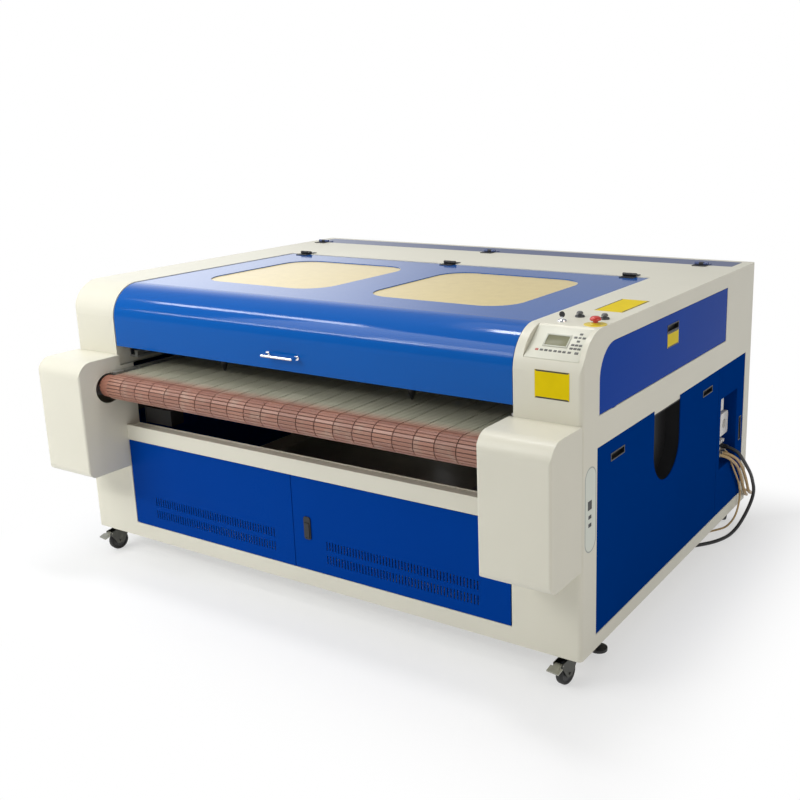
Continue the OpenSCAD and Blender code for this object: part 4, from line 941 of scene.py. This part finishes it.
# A plate's foot and top above the band, and the room that it has there.
PLATE_FOOT, PLATE_TOP, PLATE_ROOM = 0.2, 2.9, 3
PLATE_CHAMFER = 0.9
belt_low, belt_high = corners_of("conveyor_belt")
nose_y, axis_z = middle_of("front_roller")[1:]
tail_y = middle_of("rear_roller")[1]
belt_w = belt_high[0] - belt_low[0]
band_r = (belt_high[2] - belt_low[2]) / 2 - PLATE_ROOM
plate_pitch = belt_w / PLATES_A_ROW
row_pitch = (tail_y - nose_y) / ROWS
print("belt", belt_w, "wide, round rollers at", nose_y, "and", tail_y, "band radius", band_r)

# %% Rows of plates


def repeat(made, count, step):
    """Copies made along a step in millimetres with an array."""
    bpy.context.view_layer.objects.active = made
    array = made.modifiers.new("repeat", "ARRAY")
    array.use_relative_offset = False
    array.use_constant_offset = True
    array.constant_offset_displace = [value / 1000 for value in step]
    array.count = count
    bpy.ops.object.modifier_apply(modifier=array.name)
    return made


def plate_row(middle_y, middle_z, facing):
    """One row of plates on the band, facing up (1) or down (-1)."""
    middle_x = belt_low[0] + plate_pitch / 2
    low, high = sorted((middle_z + facing * PLATE_FOOT, middle_z + facing * PLATE_TOP))
    plate = add_box((middle_x - PLATE_HALF_WIDTH, middle_y - PLATE_HALF_DEPTH, low),
                    (middle_x + PLATE_HALF_WIDTH, middle_y + PLATE_HALF_DEPTH, high))
    pick_faces(plate, lambda middle, normal: normal.z * facing < -0.9)
    bpy.ops.mesh.delete(type="FACE")
    bpy.ops.mesh.select_all(action="DESELECT")
    leave_edit()
    pick_faces(plate, lambda middle, normal: normal.z * facing > 0.9)
    bpy.ops.mesh.bevel(offset=PLATE_CHAMFER / 1000, segments=1, affect="EDGES")
    leave_edit()
    return repeat(plate, PLATES_A_ROW, (plate_pitch, 0, 0))


def straight_rows(facing):
    """The rows of the upper (1) or the lower (-1) run."""
    row = plate_row(nose_y + row_pitch / 2, axis_z + facing * band_r, facing)
    return repeat(row, ROWS, (0, row_pitch, 0))


def turned_rows(axis_y, outward):
    """Rows spun half way round a roller, towards the front (-1) or the back (1).

    The first spin only turns the row half a step, and leaves the row that it started from on
    top of the roller. The second lays the copies.
    """
    row = plate_row(axis_y, axis_z + band_r, 1)
    middle = at(0, axis_y, axis_z)
    step = math.pi / TURNED_ROWS
    select_whole(row)
    bpy.ops.mesh.spin(steps=1, angle=outward * step / 2, center=middle, axis=(1, 0, 0))
    bpy.ops.mesh.spin(steps=TURNED_ROWS - 1, angle=outward * step * (TURNED_ROWS - 1),
                      center=middle, axis=(1, 0, 0), dupli=True)
    leave_edit()
    return row


plates = join_pieces([straight_rows(1), straight_rows(-1),
                      turned_rows(nose_y, -1), turned_rows(tail_y, 1)])
reach = [corner.co.y - FRONT for corner in plates.data.vertices]
print("plates reach from", round(min(reach), 3), "to", round(max(reach), 3), "m")

# %% [markdown]
# No two plates of a much-used belt have quite the same tone. The faces get numbers in a face
# attribute that the finish reads, a new number after each plate's worth of faces, so a plate
# of the straight runs has one tone. Steps of the golden ratio spread the numbers evenly, so
# that neighbours always differ and every run gives the same belt.

# %% Tones of the plates
GOLDEN_STEP = 0.618034
plate_count = PLATES_A_ROW * (2 * ROWS + 2 * TURNED_ROWS)
face_count = len(plates.data.polygons)
faces_a_plate = face_count // plate_count
tones = plates.data.attributes.new("tone", "FLOAT", "FACE")
tones.data.foreach_set("value", [(face // faces_a_plate * GOLDEN_STEP) % 1.0
                                 for face in range(face_count)])
print("belt faces:", face_count, "faces per plate:", faces_a_plate)

# %% [markdown]
# The carrier band under the plates is a woven rubber loop. It is a tube as wide as the belt,
# cut in two along its axle: the back half moves to the rear roller, and bridges close the
# gap above and below. A bridge joins only what is selected, so the four straight edges of
# the cut are picked by their height.

# %% Carrier band
BAND_SIDES = 96
HEIGHT_SLACK, LEVEL_SLACK = 1e-4, 1e-6


def lies_on_the_cut(band, edge):
    """Whether an edge runs straight across the band at its top or bottom."""
    start, end = [band.data.vertices[corner].co for corner in edge.vertices]
    at_top_or_bottom = abs(abs(start.z - axis_z / 1000) - band_r / 1000) < HEIGHT_SLACK
    straight = abs(start.y - end.y) < LEVEL_SLACK and abs(start.z - end.z) < LEVEL_SLACK
    return at_top_or_bottom and straight


band = add_rod((0, nose_y, axis_z), band_r, belt_w, "X", BAND_SIDES)
pick_faces(band, lambda middle, normal: abs(normal.x) > 0.9)
bpy.ops.mesh.delete(type="FACE")
leave_edit()
cut_y = at(0, nose_y, 0).y
select_whole(band)
bpy.ops.mesh.bisect(plane_co=(0, cut_y, 0), plane_no=(0, 1, 0))
leave_edit()
pick_faces(band, lambda middle, normal: middle.y > cut_y)
bpy.ops.mesh.edge_split(type="EDGE")
bpy.ops.transform.translate(value=(0, (tail_y - nose_y) / 1000, 0))
bpy.ops.mesh.select_mode(type="EDGE")
bpy.ops.mesh.select_all(action="DESELECT")
leave_edit()
for edge in band.data.edges:
    edge.select = lies_on_the_cut(band, edge)
bpy.ops.object.mode_set(mode="EDIT")
bpy.ops.mesh.bridge_edge_loops()
bpy.ops.mesh.select_all(action="SELECT")
bpy.ops.mesh.normals_make_consistent(inside=False)
leave_edit()
print("band faces:", len(band.data.polygons))

# %% [markdown]
# The plates are copper brown round the front roller and underneath. On the bed they are
# painted a paler olive: a painted sheen for the grey grazing reflection of the flat bed, with
# real dust over it. Place along the belt and height tell the two apart. Long noise gives the
# painted sheen its streaks along the bed, and soft noise the dust.

# %% Belt finish
belt_finish = Finish("belt_plates", Roughness=0.4, Specular_IOR_Level=0.5)
_, belt_y, belt_z = belt_finish.axes()
tone = belt_finish.node("ShaderNodeAttribute", {"attribute_name": "tone"}, out=2)
dust = belt_finish.noise(16, 4)
# Painted sheen: streaks of the grazing reflection along the bed.
sheen_streak = belt_finish.noise(11, 3, stretch=(1, 0.12, 1))
# Painted olive sheen begins and is full at these distances behind and above the front roller's axle.
fade_back = [at(0, nose_y + behind, 0).y for behind in (-1, 79)]
fade_up = [(axis_z + above) / 1000 for above in (6, 41)]
# Painted sheen: the flat bed behind and above the nose is painted paler olive for its reflection.
bed_sheen_mask = belt_y.ramp(*fade_back) * belt_z.ramp(*fade_up)
copper = belt_finish.blend((0.33, 0.155, 0.105), (0.25, 0.11, 0.075), tone)
sheen_olive = belt_finish.blend((0.50, 0.49, 0.37), (0.30, 0.29, 0.21), sheen_streak * 0.7 + tone * 0.3)
copper_or_sheen = belt_finish.blend(copper, sheen_olive, bed_sheen_mask)
# Real dust lies over both the copper and the painted sheen.
dust_and_sheen = belt_finish.blend(copper_or_sheen, (0.42, 0.36, 0.28), dust.ramp(0.52, 0.8) * 0.35)
belt_finish.feed("Base Color", dust_and_sheen)
belt_finish.feed("Roughness", 0.3 + tone * 0.12 + dust * 0.14)
belt_finish.relief(dust, 0.0002)
coat(band, moulded("carrier_band", (0.06, 0.03, 0.025), 0.7))
coat(plates, belt_finish)
belt = join_pieces([plates, band])
settle(belt, "slat_belt", belt_finish, "chassis", 20)
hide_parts("conveyor_belt")

# %% [markdown]
# ## Operator's panel
# A membrane panel lies in the sloping facet: a display behind a raised frame, a row of keys
# below it, arrow keys and a block of six on its right. The film, the frame and the keys are
# separate mouldings, so they are made flat from blocks, where y runs up the panel, and the
# joined panel is then tilted into its facet in one move.

# %% Panel finishes
panel_film = moulded("panel_film", (0.66, 0.65, 0.55), 0.4)
display_frame = moulded("display_frame", (0.50, 0.50, 0.42), 0.4)
key_finish = moulded("panel_keys", (0.10, 0.10, 0.09), 0.45)
stop_key = moulded("panel_stop_key", (0.42, 0.10, 0.07), 0.45)
display_glass = Finish("display_glass", Roughness=0.3, Specular_IOR_Level=0.15)
columns = display_glass.axes()[0] * 420
cell = columns.fract().between(0.2, 0.8, 0.2)
smear = display_glass.noise(30, 3)
display_glass.feed("Base Color", display_glass.blend((0.17, 0.17, 0.10), (0.24, 0.235, 0.15),
                                                     cell * 0.4 + smear * 0.5))
display_glass.feed("Roughness", 0.25 + smear * 0.12)
print("panel finishes ready")

# %% Film and display
panel_left, panel_right = [corner[0] for corner in corners_of("control_unit")]
FILM_T = 2
film = round_edges(add_box((panel_left, 2, 0), (panel_right, 120, FILM_T)), 1.0, 2)
coat(film, panel_film)
display = add_box((927, 46, 1.5), (1005, 92, 4.2))
pick_faces(display, lambda middle, normal: normal.z > 0.9)
inset(4.5)
bpy.ops.mesh.extrude_region_move(TRANSFORM_OT_translate={"value": (0, 0, -0.0018)})
leave_edit()
coat(display, display_frame, display_glass)
upward = [face for face in display.data.polygons if face.normal.z > 0.9]
max(upward, key=lambda face: face.area).material_index = 1
round_edges(display, 0.5, 2)
print("display faces:", len(display.data.polygons))

# %% Keys and the tilted panel
SLOPE = math.radians(38.6034)
FACET_FOOT = (0, 8, 1004)
KEY_FOOT, KEY_TOP = 1.5, 3.0
# Each key is its x, its y up the panel and half its width, in millimetres.
KEYS = [(x, 32, 5) for x in (916, 931, 945, 959, 974, 988, 1002)]
KEYS += [(1030, 100, 5), (1017, 87, 5), (1043, 87, 5), (1030, 74, 5), (1030, 87, 4)]
KEYS += [(x, y, 5) for x in (1018, 1030, 1042) for y in (47, 60)]
KEYS += [(1018, 32, 5), (1040, 32, 6)]


def panel_key(x, y, half):
    """A key with rounded edges, wider than it is tall."""
    tall = half * 0.7
    return round_edges(add_box((x - half, y - tall, KEY_FOOT), (x + half, y + tall, KEY_TOP)), 0.9, 2)


keys = [panel_key(*key) for key in KEYS]
coat(keys[0], stop_key)
for key in keys[1:]:
    coat(key, key_finish)
panel = join_pieces([film, display] + keys)
set_down(panel, FACET_FOOT, Matrix.Rotation(SLOPE, 4, "X"))
settle(panel, "membrane_panel", panel_film, "chassis")
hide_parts("control_unit")
print("keys:", len(KEYS))

# %% [markdown]
# ## Switches
# Behind the panel stand an emergency stop on a yellow guard, a key switch and two push
# buttons. Each has a bezel that clamps it into a hole of the deck, with its shank below. All
# of them are turned about an upright axis, which gives the rolled edges that catch the light.

# %% Bezels
SHANK_END, STEM_END = -24, -18


def on_deck(node):
    """The point of the deck under a switch, in metres."""
    x, y, _ = middle_of(node)
    return at(x, y, DECK)


yellow_plastic = moulded("yellow_plastic", (0.72, 0.55, 0.02), 0.3, 0.3)
bezel_black = moulded("bezel_black", (0.03, 0.03, 0.032), 0.4, 0.2)
guard = turn_profile(loop_profile([(7.1, 6), (12, 6), (14, 4.6), (15, 2.6), (31, 2), (33.2, 1.4),
                                   (34, 0), (11, 0), (11, SHANK_END), (7.1, SHANK_END)]),
                     on_deck("estop_button"), steps=48)
lock_ring = turn_profile(loop_profile([(7.2, 6), (11.4, 6), (12.6, 5.2), (14, 1.6), (14, 0),
                                       (9.4, 0), (9.4, SHANK_END), (7.2, SHANK_END)]),
                         on_deck("mode_key"))
button_rings = [turn_profile(loop_profile([(6.2, 6), (12, 6), (13.6, 5), (15, 1), (15, 0), (8, 0),
                                           (8, SHANK_END), (6.2, SHANK_END)]), on_deck(button))
                for button in ("button_left", "button_right")]
coat(guard, yellow_plastic)
coat(lock_ring, chrome)
for ring in button_rings:
    coat(ring, bezel_black)
bezels = join_pieces([guard, lock_ring] + button_rings)
settle(bezels, "switch_bezels", yellow_plastic, "chassis")
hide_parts("switch_bodies")

# %% Stop head and button caps
red_plastic = moulded("red_plastic", (0.55, 0.02, 0.01), 0.25, 0.5)
button_grey = moulded("button_grey", (0.09, 0.09, 0.09), 0.38, 0.2)
head = turn_profile([(0, 25), (5, 24.8), (9.5, 24), (13, 22.4), (15.6, 20), (17, 17), (17, 15.4),
                     (16.2, 13.2), (14.4, 12.2), (9, 12.2), (8.6, 11.4), (7, 11.3), (7, STEM_END),
                     (0, STEM_END)], on_deck("estop_button"), steps=48)
settle(head, "stop_head", red_plastic, "estop")
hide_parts("estop_button")
for name in ("button_left", "button_right"):
    cap = turn_profile([(0, 17), (5.5, 16.8), (7.6, 16), (8.8, 14.4), (10.2, 11.4), (10.6, 10.2),
                        (10, 10), (6, 10), (6, STEM_END), (0, STEM_END)], on_deck(name), steps=36)
    settle(cap, name + "_cap", button_grey, name)
    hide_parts(name)

# %% [markdown]
# The key switch turns with its key. The plug is turned, the blade is a thin block with
# softened edges, and the bow is a short rod whose two faces are inset and sunk, as the grip
# of a real key is. All three turn together, so they are one piece.

# %% Switch key
key_x, key_y, _ = middle_of("mode_key")
plug = turn_profile([(0, 6.5), (6.2, 6.5), (7, 5.9), (7, STEM_END), (0, STEM_END)],
                    on_deck("mode_key"), steps=32)
blade = round_edges(add_box((key_x - 4.6, key_y - 1, DECK + 6.2),
                            (key_x + 4.6, key_y + 1, DECK + 15)), 0.3, 1)
bow = add_rod((key_x, key_y, DECK + 21), 9, 2.4, "Y")
pick_faces(bow, lambda middle, normal: abs(normal.y) > 0.9)
inset(2.2)
sink(0.6)
leave_edit()
coat(plug, chrome)
coat(blade, chrome)
coat(bow, black_plastic)
switch_key = join_pieces([plug, blade, round_edges(bow, 0.3, 1)])
settle(switch_key, "switch_key", chrome, "mode_key")
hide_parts("mode_key")

# %% [markdown]
# ## Ports of the socket plate
# The socket plate has three cut-outs, and a black port with a raised rim fills each. A block
# that fits its cut-out with a small gap gets softened edges, and its outer face is inset and
# sunk, which leaves the rim.

# %% Port faces
PORT_GAP = 0.3
# Each cut-out is its lowest and highest y, then its lowest and highest z.
PORTS = [(38, 64, 565, 593), (42, 62, 537, 549), (42, 62, 512, 524)]
ports = []
for low_y, high_y, low_z, high_z in PORTS:
    port = add_box((plate_low[0] + 0.05, low_y + PORT_GAP, low_z + PORT_GAP),
                   (plate_high[0] - 0.1, high_y - PORT_GAP, high_z - PORT_GAP))
    round_edges(port, 0.2, 1)
    pick_faces(port, lambda middle, normal: normal.x > 0.9)
    inset(1.5)
    sink(0.4)
    leave_edit()
    ports.append(port)
ports = join_pieces(ports)
settle(ports, "port_faces", black_plastic, "chassis")
print("ports:", len(PORTS))

# %% [markdown]
# ## Plates with a border
# The cabinet carries four plain yellow plates. Each is cut from film with a printed border.
# A border could be four strips laid on top, but print has no thickness, so the outer face is
# inset twice: the narrow ring between the two insets is the border.

# %% Bordered plates
FILM_THICK = 0.8
EDGE_MARGIN, BORDER_WIDTH = 3, 1.5
yellow_film = moulded("yellow_film", (0.72, 0.54, 0.0), 0.4, 0.0, 0.08)
border_print = moulded("border_print", (0.04, 0.035, 0.02), 0.45)


def bordered(low, high, out):
    """A plate between two corners in millimetres, with its border on the side out."""
    plate = add_box(low, high)
    pick_faces(plate, lambda middle, normal: normal.dot(Vector(out)) > 0.9)
    inset(EDGE_MARGIN)
    inset(BORDER_WIDTH)
    leave_edit()
    coat(plate, yellow_film, border_print)
    faces = sorted((face for face in plate.data.polygons if face.normal.dot(Vector(out)) > 0.9),
                   key=lambda face: face.area)
    middle = faces[-1].center
    inner_ring = sorted(faces[:-1], key=lambda face: (face.center - middle).length)[:4]
    for face in inner_ring:
        face.material_index = 1
    return plate


side_x = corners_of("lower_panel_right")[1][0]
yellow_plates = [bordered((926, -FILM_THICK, 894), (1035, 0, 976), (0, -1, 0)),
                 bordered((942, 348, DECK), (1036, 556, DECK + FILM_THICK), (0, 0, 1)),
                 bordered((side_x, 620, 922), (side_x + FILM_THICK, 716, 972), (1, 0, 0)),
                 bordered((-side_x - FILM_THICK, 620, 922), (-side_x, 716, 972), (-1, 0, 0))]
labels = join_pieces(yellow_plates)
settle(labels, "plain_plates", yellow_film, "chassis")
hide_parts("label_plates")
print("plates:", len(yellow_plates))

# %% [markdown]
# ## Castor wheels
# A castor wheel is a moulded nylon hub with a rubber tread pressed on and a bearing in its
# middle. All of it is round, so one profile is turned about the axle, whose place and
# direction come from the wheel's own joint. Which material a face gets depends only on how
# far it stands from the axle.

# %% Four castor wheels
BEARING_R, HUB_R = 10.2, 27.2
tyre = moulded("tyre_rubber", (0.014, 0.014, 0.014), 0.6)
hub_finish = moulded("wheel_hub", (0.03, 0.03, 0.031), 0.4)
HALF_WHEEL = [(4.1, -12), (9, -12), (10, -11), (10, -9), (13, -8.2), (24, -8), (26.5, -8.6),
              (27.5, -10.5), (29, -11.6), (33, -12), (35.6, -11), (37, -8.5), (37.5, -4)]
WHEEL = HALF_WHEEL + [(radius, -height) for radius, height in reversed(HALF_WHEEL)]


def castor_wheel(corner, axle_place, axle):
    """A wheel for one corner of the machine: tread, then hub, then bearing inwards."""
    wheel = turn_profile(loop_profile(WHEEL), axle_place, axle, steps=48)
    coat(wheel, tyre, hub_finish, bare_steel)
    for face in wheel.data.polygons:
        offset = face.center - axle_place
        reach = (offset - axle * offset.dot(axle)).length * 1000
        face.material_index = (reach < HUB_R) + (reach < BEARING_R)
    settle(wheel, "wheel_" + corner + "_tread", tyre, "wheel_" + corner)
    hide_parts("castor_wheel_" + corner)


rolls = {joint["child"]: joint for joint in frame["joints"] if joint["name"].endswith("_roll")}
for corner in ("fl", "fr", "rl", "rr"):
    roll = rolls["wheel_" + corner]
    castor_wheel(corner, Vector(roll["pos_m"]), Vector(roll["axis"]))
print("wheels:", len(rolls))
